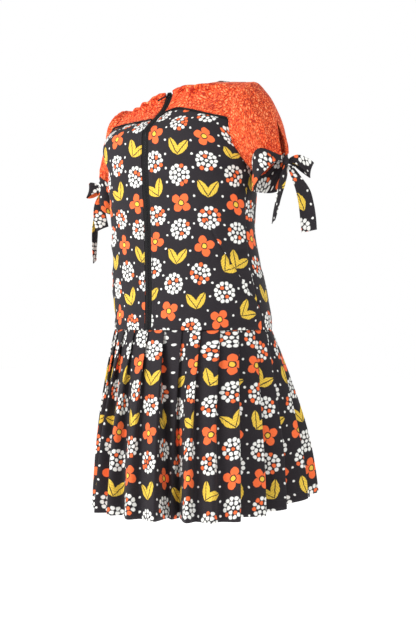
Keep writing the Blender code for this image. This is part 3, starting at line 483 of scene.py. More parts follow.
# Parts of each bow: name, table and the rows that the knot holds
BOWS = {
    1: (
        ("loop", LOOP_LEFT, (0, -1)),
        ("tail_front", TAIL_FRONT_LEFT, (0,)),
        ("tail_back", TAIL_BACK_LEFT, (0,)),
    ),
    -1: (
        ("loop", LOOP_RIGHT, (0, -1)),
        ("tail_front", TAIL_FRONT_RIGHT, (0,)),
        ("tail_back", TAIL_BACK_RIGHT, (0,)),
    ),
}
RIBBON_PRINT_STEP = (0.11, 0.05)
RIBBON_PRINT_ASIDE = 0.37
KNOT_SEAT_SHARES = (-1.0, -0.5, 0.0, 0.5, 1.0)

# Folds of a knot: height and slant of the wide ones, height, count and slant of the fine ones
KNOT_WIDE_FOLDS = (0.07, 5.2)
KNOT_FINE_FOLDS = (0.05, 11, 1.5)
KNOT_END_SHARE = 0.03

# The skirt's rows are closer spaced at the seam, and its cloth sways between seam and hem
SKIRT_ROW_POWER = 1.1
SKIRT_SWAY = 0.0016
SWAY_ROUND = 0.61
SWAY_START = 0.8
SWAY_DOWN = 7.0
SWAY_SLANT = 0.23
SKIRT_PRINT_ROW = 0.7
SKIRT_HEM = 0.014
SKIRT_HEM_CREASE = (0.002, -0.0004)
SKIRT_START = -2

# Piping over the yoke seam, stopping short of the sleeve
PIPING_RISE = 0.0017
PIPING_WAVER = 0.00025
PIPING_WAVER_RATE = 0.55
PIPING_HALF_WIDTH = 0.0026
PIPING_HALF_HEIGHT = 0.0015
PIPING_SIDES = 12
PIPING_POINTS_SHORT = 3

# Zip tapes: width as a share of what shows, cord (place, half width, height), places of the stitches
TAPE_WIDTH = 1.15
TAPE_THICKNESS = 0.0010
TAPE_TUCK = 0.0009
TAPE_TUCK_SHARES = (0.80, 1.0)
TAPE_CORD = (0.0035, 0.0012, 0.0006)
ZIP_STITCHES_ASIDE = (0.0022, 0.0075)
ZIP_STITCH_RISE = 0.0004
ZIP_FACING_STEPS = (-0.01, 0.01)
HALF_FRONT_WIDTH = 0.24

# A zip tooth: reach and share of the pitch at each corner, then height and size of each layer
TOOTH_ROOT = 0.0009
TOOTH_CORNERS = (
    (-0.0004, 0.50),
    (0.0012, 0.62),
    (0.0022, 0.36),
    (0.0022, -0.36),
    (0.0012, -0.62),
    (-0.0004, -0.50),
)
TOOTH_LAYERS = ((0.0004, 1.0), (0.0011, 1.0), (0.0014, 0.7))
TEETH_SHORT_ROWS = 0.25

# A stitch: place along it, height and width of its four rings, as shares
STITCH_PLACES = (0.0, 0.25, 0.75, 1.0)
STITCH_HEIGHTS = (-0.6, 0.7, 0.7, -0.6)
STITCH_WIDTHS = (0.45, 1.0, 1.0, 0.45)
STITCH_SIDES = 4

# Motifs of the main print, as shares of its pitch; pairs are a size and the softness of its edge
OUTER_DOTS = (12, 0.325, 0.072)
INNER_DOTS = (6, 0.175, 0.070)
HEART_RADIUS = 0.062
OUTER_DOTS_FROM = 0.248
INNER_DOTS_FROM = 0.100
INNER_NUMBERS_FROM = 20.0
TINTED_DOTS = 0.80
DOT_EDGE = 0.012
PETAL_POWER = 0.55
PETAL_LENGTH = 0.27
PETAL_ROOT = 0.11
CORE = (0.085, 0.010)
CORE_GAP_RADIUS = 0.105
CORE_GAP = (0.018, 0.008)
LEAF_LEAN = math.radians(33)
LEAF_ASIDE = 0.17
LEAF_HALF_LENGTH = 0.36
LEAF_HALF_WIDTH = 0.155
LEAF_EDGE = 0.010
LEAF_VEIN = (0.016, 0.006)
LEAF_STROKES = 58.0
LEAF_STROKE_FROM = 0.72
LEAF_STROKE_SHARE = 0.55
SPECK = (0.040, 0.010)
MOTIF_TILT = 1.5
PRINT_WOBBLE_SCALE = 130.0
PRINT_WOBBLE = 0.0035
PRINT_WEAR_SCALE = 420.0
PRINT_WEAR_FROM = 0.42

# Lines of the orange print: where each kind ends in the noise, and the softness of its edge
SQUIGGLE_DETAIL = 0.4
SQUIGGLE_LINE = (0.062, 0.030)
SQUIGGLE_FLECK = (0.200, 0.020)
SQUIGGLE_DASH = (0.018, 0.012)
SQUIGGLE_SHIFT = (0.37, 0.11, 0.0)
SQUIGGLE_PALENESS = 0.75

# Colours: linear red, green and blue
LEAF_STROKE_TONE = (0.30, 0.22, 0.03)
WORN_TONE = (0.06, 0.055, 0.06)
PIPING_TONE = (0.0065, 0.0062, 0.0070)
TAPE_TONE = (0.0070, 0.0066, 0.0074)
CHARCOAL = (0.045, 0.042, 0.050)
RUST = (0.42, 0.050, 0.015)
METAL_TONE = (0.018, 0.018, 0.020)
SCUFF_TONE = (0.16, 0.155, 0.15)
FLOOR_TONES = ((0.97, 0.97, 0.97), (0.99, 0.99, 0.99))
WHITE = (1.0, 1.0, 1.0)

# Surfaces
DARK_COTTON = "dark printed cotton"
ORANGE_COTTON = "orange printed cotton"
DARK_COTTON_ROUGHNESS = 0.82
ORANGE_COTTON_ROUGHNESS = 0.80
COTTON_RUMPLE = 0.6
COTTON_BUMP = 0.45
COTTON_BUMP_DEPTH = 0.002
COTTON_SHEEN = 0.03
COTTON_SHEEN_ROUGHNESS = 0.5
COTTON_SPECULAR = 0.25
BLACK_CLOTH_ROUGHNESS = 0.62
BLACK_CLOTH_SPECULAR = 0.2
RIB_SLANT = 0.6
RIB_DEPTH = 0.0004
PIPING_RIB_PITCH = 0.0012
PIPING_RIB_STRENGTH = 0.5
TAPE_RIB_PITCH = 0.0016
TAPE_RIB_STRENGTH = 0.6
BLACK_METAL = "black lacquered metal"
METAL_ROUGHNESS = 0.32
METAL_METALLIC = 0.8
SCUFFS_FROM = 0.66
THREAD_ROUGHNESS = 0.6
THREAD_SHADE = 0.55
FLOOR_ROUGHNESS = 0.9

# Stage: soft lights by place and size, the point they aim at, the floor, the camera's film
KEY_LIGHT = ((-1.2, -2.6, 0.9), 2.0)
FILL_LIGHT = ((2.6, -1.0, 0.3), 2.2)
BACK_LIGHT = ((-0.6, 2.6, 0.9), 2.2)
LIGHT_AIM = (0.0, 0.0, -0.5)
FLOOR_HALF_SIZE = 14.0
FLOOR_SQUARES = 24
FLOOR_GLOW = 0.55
FILM_HEIGHT = 36.0
FILM_SHIFT = 18 / 624


def lerp(low, high, share):
    return low + (high - low) * share


def smooth_step(low, high, value):
    share = np.clip((value - low) / (high - low), 0.0, 1.0)
    return share * share * (3 - 2 * share)


def unit(vectors):
    return vectors / np.maximum(np.linalg.norm(vectors, axis=-1, keepdims=True), 1e-12)


def bump(place, centre, half_width, height):
    """A soft ridge, or a trough where height is below 0, at a distance of centre."""
    return height * np.exp(-((place - centre) / half_width) ** 2)


def smooth_curve(before, here, there, after, share):
    """A curve from here to there that follows its neighbours' directions."""
    return 0.5 * (2 * here + (there - before) * share
                  + (2 * before - 5 * here + 4 * there - after) * share ** 2
                  + (3 * here - before - 3 * there + after) * share ** 3)


def along(table, rows):
    """A table read at fractional row numbers, along a smooth curve."""
    table = np.asarray(table, dtype=float)
    rows = np.asarray(rows, dtype=float)
    first = np.clip(np.floor(rows).astype(int), 0, len(table) - 2)
    ends = np.concatenate((2 * table[:1] - table[1:2], table, 2 * table[-1:] - table[-2:-1]))
    near = [ends[first + step] for step in range(4)]
    return smooth_curve(*near, (rows - first)[..., None])


def running_sum(steps, axis):
    """The sum of the steps up to each point, from 0 at the first."""
    start = np.zeros_like(np.take(steps, [0], axis=axis))
    return np.concatenate((start, np.cumsum(steps, axis=axis)), axis=axis)


def lengths_along(path):
    return running_sum(np.linalg.norm(np.diff(path, axis=0), axis=1), 0)


def read_at(places, lengths, points):
    """Points or directions read at lengths along their path."""
    return np.stack([np.interp(places, lengths, points[:, axis]) for axis in range(3)], axis=-1)


def edge_of(armhole, row):
    """The side seam below the armpit and the armhole above it."""
    low = along(SIDE_SEAM, np.minimum(row, ARMPIT_ROW))
    high = along(armhole, np.maximum(row - ARMPIT_ROW, 0.0))
    return np.where((row <= ARMPIT_ROW)[..., None], low, high)


def body_points(middle, armhole, side, across, row):
    """Points of the body: across is 0 on the middle line and 1 on the side or armhole."""
    across, row = np.broadcast_arrays(np.asarray(across, dtype=float), np.asarray(row, dtype=float))
    x, y, z, turn, fullness = np.moveaxis(along(middle, row), -1, 0)
    x = np.maximum(x, 0.0)
    edge = edge_of(armhole, row)
    bend = np.radians(turn)
    outward = np.where(y > edge[..., 1], 1.0, -1.0)
    swell = fullness * np.sin(math.pi * across)
    sine, cosine = np.sin(across * bend), np.cos(across * bend)
    points = np.stack((
        x + (edge[..., 0] - x) * sine / np.sin(bend) + swell * sine,
        y + (edge[..., 1] - y) * (1 - cosine) / (1 - np.cos(bend)) + outward * swell * cosine,
        z + (edge[..., 2] - z) * across,
    ), axis=-1)
    points[..., 0] *= side
    if side < 0:
        from_middle = np.minimum(np.abs(points[..., 0]) / SHOULDER_TIP_X, 1.0)
        height_share = smooth_step(DROP_NONE_Z, DROP_FULL_Z, points[..., 2])
        points[..., 2] -= RIGHT_SHOULDER_DROP * np.sin(math.pi / 2 * from_middle) * height_share
    return points


def front_points(side, across, row):
    return body_points(FRONT_MIDDLE, ARMHOLE_FRONT, side, across, row)


def back_points(side, across, row):
    return body_points(BACK_MIDDLE, ARMHOLE_BACK, side, across, row)


def zip_edge(row):
    """How far across the front the zip tape reaches at a row."""
    values = along(FRONT_MIDDLE, row)
    x = np.maximum(values[..., 0], 0.0)
    bend = np.radians(values[..., 3])
    reach = (ZIP_HALF_WIDTH - x) * np.sin(bend) / (edge_of(ARMHOLE_FRONT, row)[..., 0] - x)
    return np.maximum(np.arcsin(np.maximum(reach, -1.0)) / bend, 0.0)


def from_zip(row, share):
    start = zip_edge(row)
    return start + (1 - start) * share


def yoke_row(side, share):
    """The row of the yoke seam; its table is closer spaced near the zip, where it bends most."""
    table = YOKE_SEAM_LEFT if side > 0 else YOKE_SEAM_RIGHT
    return along(table, np.sqrt(share) * (len(table) - 1))[..., 0]


def bodice_front_sheet(side):
    share = np.linspace(0.0, 1.0, FRONT_COLUMNS)[None, :]
    low = np.linspace(0.0, ARMPIT_ROW, FRONT_ROWS_TO_ARMPIT)[:-1, None]
    step = np.linspace(0.0, 1.0, FRONT_ROWS_TO_YOKE)[:, None]
    high = lerp(ARMPIT_ROW, yoke_row(side, share), step)
    row = np.concatenate((np.repeat(low, FRONT_COLUMNS, axis=1), high))
    return front_points(side, from_zip(row, share), row)


def yoke_sheet(side):
    share = np.linspace(0.0, 1.0, YOKE_COLUMNS)[None, :]
    step = np.linspace(0.0, 1.0, YOKE_ROWS_TO_NECK)[:, None]
    low = lerp(yoke_row(side, share), NECK_ROW, step)
    high = np.linspace(NECK_ROW, FRONT_TOP_ROW, YOKE_ROWS_TO_TOP)[1:, None]
    row = np.concatenate((low, np.repeat(high, YOKE_COLUMNS, axis=1)))
    return front_points(side, from_zip(row, share), row)


def back_sheet():
    row = np.linspace(0.0, BACK_TOP_ROW, BACK_ROWS)[:, None]
    share = np.linspace(0.0, 1.0, BACK_HALF_COLUMNS)[None, :]
    left = back_points(1, share, row)
    right = back_points(-1, share, row)
    return np.concatenate((right[:, :0:-1], left), axis=1)


def armhole_line(side):
    """The armhole from the shoulder tip down the front, under the arm and up the back."""
    down = np.linspace(FRONT_TOP_ROW, ARMPIT_ROW, ARMHOLE_FRONT_COLUMNS)
    up = np.linspace(ARMPIT_ROW, BACK_TOP_ROW, ARMHOLE_BACK_COLUMNS)[1:]
    return np.concatenate((front_points(side, 1.0, down), back_points(side, 1.0, up)))


def sleeve_points(side, turn, row):
    """Points of the sleeve past the armhole; turn is 0 outside, 0.25 in front, 0.5 under."""
    table = SLEEVE_LEFT if side > 0 else SLEEVE_RIGHT
    outer_x, outer_z, under_x, under_z, front, back, lift = np.moveaxis(along(table, row - 1), -1, 0)
    angle = 2 * math.pi * turn
    cosine, sine = np.cos(angle), np.sin(angle)
    depth = np.where(sine > 0, front, back)
    return np.stack((
        side * ((outer_x + under_x) / 2 + (outer_x - under_x) / 2 * cosine),
        -depth * sine,
        (outer_z + under_z) / 2 + (outer_z - under_z) / 2 * cosine + lift * sine * sine,
    ), axis=-1)


def slit_half_width(row):
    """Half of the slit's width, as a share of the turn round the arm."""
    share = np.clip((row - SLIT_TOP_ROW) / (BAND_ROW - SLIT_TOP_ROW), 0.0, 1.0)
    return SLIT_HALF_WIDTH * np.sin(math.pi * share) + BAND_END_HALF_WIDTH * share ** 3


def sleeve_turns(side, row):
    """The turn of each column at each row, and the armhole line that they start from."""
    line = armhole_line(side)
    raw = np.arctan2(-line[:, 1], line[:, 2] - ARMHOLE_CENTRE_Z[side]) / (2 * math.pi)
    turns = np.unwrap(raw * 2 * math.pi) / (2 * math.pi)
    start = turns[0]
    share = (turns - start) / (turns[-1] - start)
    gap = slit_half_width(row)[:, None]
    twist = RIGHT_SLIT_TWIST * np.minimum(row / BAND_ROW, 1.0)[:, None] if side < 0 else 0.0
    return start + twist + gap + (1 - 2 * gap) * share[None, :], line


def sleeve_row(side, row):
    """One row of the sleeve, read past the armhole."""
    turns, _ = sleeve_turns(side, np.full(1, row))
    return sleeve_points(side, turns[0], np.full(turns.shape[1], row))


def sleeve_sheet(side):
    """The sleeve from the armhole line, which its first rows leave on a smooth curve."""
    row = np.linspace(0.0, BAND_ROW, SLEEVE_ROWS)
    turns, line = sleeve_turns(side, row)
    sheet = sleeve_points(side, turns, np.repeat(np.maximum(row, 1.0)[:, None], turns.shape[1], axis=1))
    full = sleeve_row(side, 1.0)
    leaving = (full - line) * SLEEVE_PULL
    arriving = (sleeve_row(side, 1.0 + SLEEVE_SLOPE_STEP) - full) / SLEEVE_SLOPE_STEP
    for number in np.flatnonzero(row < 1.0):
        t = row[number]
        sheet[number] = ((2 * t ** 3 - 3 * t ** 2 + 1) * line + (t ** 3 - 2 * t ** 2 + t) * leaving
                         + (3 * t ** 2 - 2 * t ** 3) * full + (t ** 3 - t ** 2) * arriving)
    return sheet


def band_sheet(side):
    row = np.linspace(BAND_ROW, BAND_END_ROW, BAND_ROWS)
    turns, _ = sleeve_turns(side, row)
    return sleeve_points(side, turns, np.repeat(row[:, None], turns.shape[1], axis=1))


def across_ribbon(facing, tilt):
    """The direction of a ribbon's width."""
    turn, rise = np.radians(facing), np.radians(tilt)
    return np.stack((-np.sin(turn) * np.cos(rise), np.cos(turn) * np.cos(rise), np.sin(rise)), axis=-1)


def seat_on_knot(row):
    """An end row of a ribbon, moved straight away from or towards the knot until it lies just off it."""
    x, y, z, half_width, facing, tilt = row
    way = unit(np.array((x, y, z)))
    grown = np.array(KNOT_HALF) + KNOT_CLEARANCE
    reach = 0.0
    for share in KNOT_SEAT_SHARES:
        aside = across_ribbon(facing, tilt) * half_width * share / grown
        square, cross = float(way / grown @ (way / grown)), float(way / grown @ aside)
        root = cross ** 2 - square * (float(aside @ aside) - 1)
        if root > 0:
            reach = max(reach, (math.sqrt(root) - cross) / square)
    return (*(way * reach), half_width, facing, tilt)


def ribbon_sheet(side, table, seated):
    """A ribbon of the tie, gathered where the knot holds it and softly curled along its length."""
    table = list(table)
    for number in seated:
        table[number] = seat_on_knot(table[number])
    steps = np.linspace(0.0, len(table) - 1, RIBBON_ROWS_A_STEP * (len(table) - 1) + 1)
    x, y, z, half_width, facing, tilt = np.moveaxis(along(table, steps), -1, 0)
    wide = across_ribbon(facing, tilt)
    centre = np.stack((x, y, z), axis=-1)
    run = unit(np.gradient(centre, axis=0))
    face = unit(np.cross(run, wide))
    share = np.linspace(-1.0, 1.0, RIBBON_COLUMNS)[None, :, None]
    held = np.ones(len(steps))
    for number in seated:
        from_knot = steps if number == 0 else steps[-1] - steps
        held = np.minimum(held, smooth_step(0.0, RIBBON_HELD_STEPS, from_knot))
    held = held[:, None, None]
    half_width = half_width[:, None, None]
    gathers = np.cos(share * RIBBON_GATHERS * math.pi) * RIBBON_GATHER_HEIGHT * (1 - held)
    bow = (share ** 2 - RIBBON_MIDDLE) * half_width * RIBBON_CURL * held
    ripple = np.sin(steps * RIBBON_RIPPLE_RATE)[:, None, None] * share * RIBBON_RIPPLE_HEIGHT * held
    points = centre[:, None] + wide[:, None] * half_width * share + face[:, None] * (gathers + bow + ripple)
    return np.array(KNOT_CENTRE[side]) + points * np.array((side, 1.0, 1.0))


def ring_table():
    """Arc length round the waist seam against angle, from the middle of the front leftward."""
    angles = np.linspace(0.0, 2 * math.pi, RING_POINTS)
    depth = np.where(np.cos(angles) > 0, RING_FRONT, RING_BACK)
    points = np.stack((RING_HALF_WIDTH * np.sin(angles), RING_CENTRE_Y - depth * np.cos(angles)), axis=1)
    return lengths_along(points), angles


def ring_points(arc, depth, table):
    """Points at the waist seam: arc round it, depth inside it."""
    arcs, angles = table
    angle = np.interp(np.mod(arc, arcs[-1]), arcs, angles)
    radius = np.where(np.cos(angle) > 0, RING_FRONT, RING_BACK)
    normal = unit(np.stack((np.sin(angle) / RING_HALF_WIDTH, -np.cos(angle) / radius), axis=-1))
    points = np.stack((RING_HALF_WIDTH * np.sin(angle), RING_CENTRE_Y - radius * np.cos(angle)), axis=-1)
    return points + normal * depth[..., None]


def hem_point(lobe, last, up, down):
    """A point of the hem in plan, on the long or the short side of a lobe, and its lift."""
    ridge_angle, ridge, valley_angle, valley, lift = lobe
    start_angle, start = last[2], last[3]
    if down > 0:
        angle = lerp(ridge_angle, valley_angle, down)
        radius = lerp(ridge, valley, (1 - math.cos(math.pi * down)) / 2)
        rise = lift
    else:
        start_angle -= 360 if start_angle > ridge_angle else 0
        angle = lerp(start_angle, ridge_angle, up)
        radius = lerp(start, ridge, (1 - math.cos(math.pi * up)) / 2)
        rise = lerp(last[4], lift, up)
    turn = math.radians(angle)
    return radius * math.sin(turn), -radius * math.cos(turn), rise


def soft_fold(points, place):
    """A closed line of control points rounded at its folds, read at fractional places."""
    count = len(points)
    near = np.floor(place + 0.5).astype(int)
    part = (place - near)[:, None]
    before, here, after = points[(near - 1) % count], points[near % count], points[(near + 1) % count]
    return (0.5 * (0.5 - part) ** 2 * before + (0.75 - part ** 2) * here
            + 0.5 * (0.5 + part) ** 2 * after)


def round_wave(points, place):
    """A closed line that runs through its control points, read at fractional places."""
    first = np.floor(place).astype(int)
    near = [points[(first + step) % len(points)] for step in (-1, 0, 1, 2)]
    return smooth_curve(*near, (place - first)[:, None])


def skirt_controls():
    """Control points of the pleats at the waist seam and at the hem, and the lift of each."""
    table = ring_table()
    pitch = table[0][-1] / PLEATS
    arcs, depths, hem = [], [], []
    for number, lobe in enumerate(HEM_LOBES):
        fold = (number + FRONT_FIRST_PLEAT) * pitch
        for (panel, overlap, extra, layers), (up, down) in zip(PLEAT_AT_SEAM, PLEAT_AT_HEM):
            arcs.append(fold - pitch + panel * pitch + overlap * PLEAT_OVERLAP + extra)
            depths.append(layers * LAYER)
            hem.append(hem_point(lobe, HEM_LOBES[number - 1], up, down))
    return ring_points(np.array(arcs), np.array(depths), table), np.array(hem)


def skirt_sheet(first, last, per_point, rows):
    """The skirt between two control points, from the waist seam down to the hem."""
    seam, hem = skirt_controls()
    place = np.linspace(first, last, (last - first) * per_point + 1)
    top = soft_fold(seam, place)
    bottom = round_wave(hem, place)
    share = np.linspace(0.0, 1.0, rows)[:, None] ** SKIRT_ROW_POWER
    opened = (share * (1 + SKIRT_EASE * (1 - share)))[..., None]
    plan = top[None] + (bottom[None, :, :2] - top[None]) * opened
    height = lerp(WAIST_SEAM_Z, HEM_Z, share) + bottom[None, :, 2] * share ** 3
    sheet = np.concatenate((plan, height[..., None]), axis=-1)
    sway = (share * (1 - share) * 4) ** 1.5
    wave = np.sin(place * SWAY_ROUND + SWAY_START) * np.sin(share * SWAY_DOWN + place * SWAY_SLANT)
    away = unit(sheet * np.array((1.0, 1.0, 0.0)) - np.array((0.0, RING_CENTRE_Y, 0.0)))
    return sheet + away * (sway * wave * SKIRT_SWAY)[..., None]


def cloth_metres(sheet):
    """How far each point lies along its row and up its column, in metres of cloth."""
    across = running_sum(np.linalg.norm(np.diff(sheet, axis=1), axis=-1), 1)
    height = running_sum(np.linalg.norm(np.diff(sheet, axis=0), axis=-1), 0)
    return np.stack((across, height), axis=-1)


def print_map(sheet, across):
    """Places in the print: the given distance across, and what each column rises besides it."""
    run = np.linalg.norm(np.diff(sheet, axis=0), axis=-1)
    rise = np.sqrt(np.maximum(run ** 2 - np.diff(across, axis=0) ** 2, 0.0))
    return np.stack((across, running_sum(rise, 0)), axis=-1)


def sheet_normals(sheet, facing):
    ahead = np.gradient(sheet, axis=1)
    up = np.gradient(sheet, axis=0)
    return unit(np.cross(ahead, up)) * facing


def raised(sheet, lift, facing):
    """A sheet moved outward by lift at each point."""
    return sheet + sheet_normals(sheet, facing) * lift[..., None]


def creased(metres, creases, unevenness):
    """How far out each point is moved by a table of soft ridges and troughs."""
    lift = np.zeros(metres.shape[:2])
    for number, (x0, y0, x1, y1, half_width, height, bow) in enumerate(creases):
        vary = 1 + unevenness * math.sin(number * 2.7 + unevenness * 9)
        start, run = np.array((x0, y0)), np.array((x1 - x0, y1 - y0))
        length = float(np.linalg.norm(run))
        run = run / length
        from_start = metres - start
        share = np.clip((from_start @ run) / length, 0.0, 1.0)
        side_step = from_start @ np.array((-run[1], run[0])) - bow * np.sin(math.pi * share)
        past = np.maximum(np.abs((from_start @ run) / length - 0.5) - 0.5, 0.0) * length
        fade = np.sin(math.pi * np.clip(share, 0.0, 1.0)) ** 0.6 * np.exp(-(past / half_width) ** 2)
        spread = half_width * (0.75 + 0.5 * share)
        lift += height * vary * fade * np.exp(-(side_step / spread) ** 2)
    return lift


def edge_distances(metres):
    """How far each point is from the first and last column and from the low and high row."""
    across, height = metres[..., 0], metres[..., 1]
    return {
        "first": across - across[:, :1],
        "last": across[:, -1:] - across,
        "low": height - height[:1],
        "high": height[-1:] - height,
    }


def edge_fade(metres, fades):
    """0 at the named edges and 1 past the fade of each."""
    distances = edge_distances(metres)
    fade = np.ones(metres.shape[:2])
    for edge, (start, end) in fades.items():
        fade *= smooth_step(start, end, distances[edge])
    return fade


def seam_dip(metres, edges, depth=SEAM_DIP, reach=SEAM_REACH):
    """How far the cloth turns in at the named edges, where it is sewn."""
    distances = edge_distances(metres)
    return -np.maximum.reduce([bump(distances[edge], 0.0, reach, depth) for edge in edges])


def soft_waves(metres, waves, phase):
    """A low, wide unevenness, as cloth has where nothing pulls it."""
    height, length = waves
    x, y = metres[..., 0] / length, metres[..., 1] / length
    return height * (np.sin(5.1 * x + 2.3 * y + phase) * np.sin(4.4 * y - 1.7 * x + 2 * phase)
                     + 0.5 * np.sin(9.7 * x - 6.1 * y + 3 * phase))


def distance_to_line(metres, line):
    """Distance from each point to a bent line, and which side of it the point is on."""
    nearest = np.full(metres.shape[:2], np.inf)
    side = np.zeros(metres.shape[:2])
    for start, end in zip(line, line[1:]):
        start, end = np.array(start), np.array(end)
        run = end - start
        share = np.clip(((metres - start) @ run) / float(run @ run), 0.0, 1.0)
        gap = metres - (start + share[..., None] * run)
        distance = np.linalg.norm(gap, axis=-1)
        closer = distance < nearest
        side = np.where(closer, np.sign(run[0] * gap[..., 1] - run[1] * gap[..., 0]), side)
        nearest = np.minimum(distance, nearest)
    return nearest, side


def on_faces(values):
    """The mean of each square's four corners."""
    return (values[:-1, :-1] + values[:-1, 1:] + values[1:, 1:] + values[1:, :-1]) / 4


def below_dart(metres):
    _, side = distance_to_line(metres, DART)
    return (side < 0) & (metres[..., 0] > DART[0][0])


def dart_turn(metres):
    """How far the print below the dart is turned about the dart's point, at each point."""
    tip = np.array(DART[0])
    start = np.array(DART[-1]) - tip
    spoke = metres - tip
    angle = np.arctan2(start[1], start[0]) - np.arctan2(spoke[..., 1], spoke[..., 0])
    angle = np.mod(angle + DART_ANGLE_SLACK, 2 * math.pi) - DART_ANGLE_SLACK
    amount = DART_TURN * (1 - smooth_step(DART_TURN_START, DART_TURN_FADE, angle))
    return np.stack((-spoke[..., 1], spoke[..., 0]), axis=-1) * amount[..., None]


def with_material(thing, material):
    thing.data.materials.clear()
    thing.data.materials.append(material)


def mesh_object(name, vertices, faces, uv, material, other_uv=None, uses_other=None, smooth=True):
    """A mesh object with a map in metres of cloth."""
    mesh = bpy.data.meshes.new(name)
    mesh.from_pydata(np.asarray(vertices).tolist(), [], [tuple(int(i) for i in face) for face in faces])
    mesh.polygons.foreach_set("use_smooth", [smooth] * len(mesh.polygons))
    layer = mesh.uv_layers.new(name="cloth")
    corner = np.empty(len(mesh.loops), dtype=np.int64)
    mesh.loops.foreach_get("vertex_index", corner)
    placed = np.asarray(uv)[corner]
    if other_uv is not None:
        chosen = np.repeat(uses_other, [len(face) for face in faces])[:, None]
        placed = np.where(chosen, np.asarray(other_uv)[corner], placed)
    layer.data.foreach_set("uv", placed.astype(np.float32).ravel())
    mesh.update()
    thing = bpy.data.objects.new(name, mesh)
    bpy.context.scene.collection.objects.link(thing)
    with_material(thing, material)
    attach(thing, BODY)
    return thing


def cloth_object(name, sheet, uv, facing, material, thickness, kept=None, other_uv=None, uses_other=None):
    """A closed shell round a sheet of points; facing is 1 where its columns run to the right.

    Squares where kept is false are left out. Where uses_other is true, a square takes its place in
    the print from other_uv.
    """
    normals = sheet_normals(sheet, facing)
    rows, columns = sheet.shape[:2]
    count = rows * columns
    number = np.arange(count).reshape(rows, columns)
    quads = np.stack((number[:-1, :-1], number[:-1, 1:], number[1:, 1:], number[1:, :-1]), axis=-1)
    kept = np.ones(quads.shape[:2], dtype=bool) if kept is None else kept
    outside = quads[kept] if facing > 0 else quads[kept][:, ::-1]
    after = np.roll(outside, -1, axis=1)
    rim = ~np.isin(outside * count + after, after * count + outside)
    start, end = outside[rim], after[rim]
    walls = np.stack((end, start, start + count, end + count), axis=-1)
    faces = np.concatenate((outside, outside[:, ::-1] + count, walls))
    half = (normals * thickness / 2).reshape(-1, 3)
    middle = sheet.reshape(-1, 3)
    vertices = np.concatenate((middle + half, middle - half))
    flat = np.tile(uv.reshape(-1, 2), (2, 1))
    if other_uv is None:
        return mesh_object(name, vertices, faces, flat, material)
    other_flat = np.tile(other_uv.reshape(-1, 2), (2, 1))
    chosen = uses_other[kept]
    chosen = np.concatenate((chosen, chosen, np.zeros(len(walls), dtype=bool)))
    return mesh_object(name, vertices, faces, flat, material, other_flat, chosen)


def prism_faces(base, rings, sides):
    """Sides and ends of a prism whose rings of corners start at vertex base."""
    faces = []
    for ring in range(rings - 1):
        for turn in range(sides):
            low = base + ring * sides + turn
            after = base + ring * sides + (turn + 1) % sides
            faces.append((low, after, after + sides, low + sides))
    last = base + (rings - 1) * sides
    return faces + [tuple(range(base, base + sides))[::-1], tuple(range(last, last + sides))]


def tube_object(name, path, ups, half_width, half_height, sides, material):
    """A cord along a path, flattened by its two half sizes."""
    run = unit(np.gradient(path, axis=0))
    up = unit(ups - run * np.sum(ups * run, axis=-1, keepdims=True))
    wide = np.cross(run, up)
    angle = np.linspace(0.0, 2 * math.pi, sides, endpoint=False)
    ring = (wide[:, None] * (half_width * np.cos(angle))[None, :, None]
            + up[:, None] * (half_height * np.sin(angle))[None, :, None])
    vertices = (path[:, None] + ring).reshape(-1, 3)
    uv = np.stack((np.repeat(lengths_along(path), sides), np.tile(angle * half_width, len(path))), axis=-1)
    thing = mesh_object(name, vertices, prism_faces(0, len(path), sides), uv, material)
    face_out(thing)
    return thing


def face_out(thing):
    """Turns a closed mesh's faces outward."""
    mesh = thing.data
    points = np.empty(len(mesh.vertices) * 3)
    mesh.vertices.foreach_get("co", points)
    points = points.reshape(-1, 3)
    volume = 0.0
    for polygon in mesh.polygons:
        corners = points[list(polygon.vertices)]
        for second, third in zip(corners[1:], corners[2:]):
            volume += float(corners[0] @ np.cross(second, third))
    if volume < 0:
        mesh.flip_normals()


def stitch_object(name, lines, material, sizes):
    """Rows of stitches: each line is points and outward directions that the stitches follow."""
    vertices, faces = [], []
    for points, ups in lines:
        length = lengths_along(points)
        pitch = sizes.stitch_length + sizes.stitch_gap
        starts = np.arange(sizes.stitch_gap, length[-1] - sizes.stitch_length, pitch)
        marks = starts[:, None] + sizes.stitch_length * np.array(STITCH_PLACES)
        heights = np.array(STITCH_HEIGHTS) * sizes.thread_radius
        spot = read_at(marks, length, points)
        up = unit(read_at(marks, length, ups))
        run = unit(spot[:, -1:] - spot[:, :1])
        wide = np.cross(run, up)
        for stitch in range(len(starts)):
            faces += prism_faces(len(vertices), len(STITCH_PLACES), STITCH_SIDES)
            for ring, width in enumerate(STITCH_WIDTHS):
                grow = width * sizes.thread_radius
                centre = spot[stitch, ring] + up[stitch, ring] * heights[ring]
                for turn in range(STITCH_SIDES):
                    angle = math.pi / 4 + turn * 2 * math.pi / STITCH_SIDES
                    vertices.append(centre + wide[stitch, ring] * grow * math.cos(angle)
                                    + up[stitch, ring] * grow * math.sin(angle))
    vertices = np.array(vertices)
    thing = mesh_object(name, vertices, faces, vertices[:, :2], material)
    face_out(thing)
    return thing


def sewn_row(surface, facing, row, sizes):
    """A row of points of a cloth at its outer face, with the directions that they face."""
    ups = sheet_normals(surface, facing)[row]
    return surface[row] + ups * sizes.cloth_thickness / 2, ups


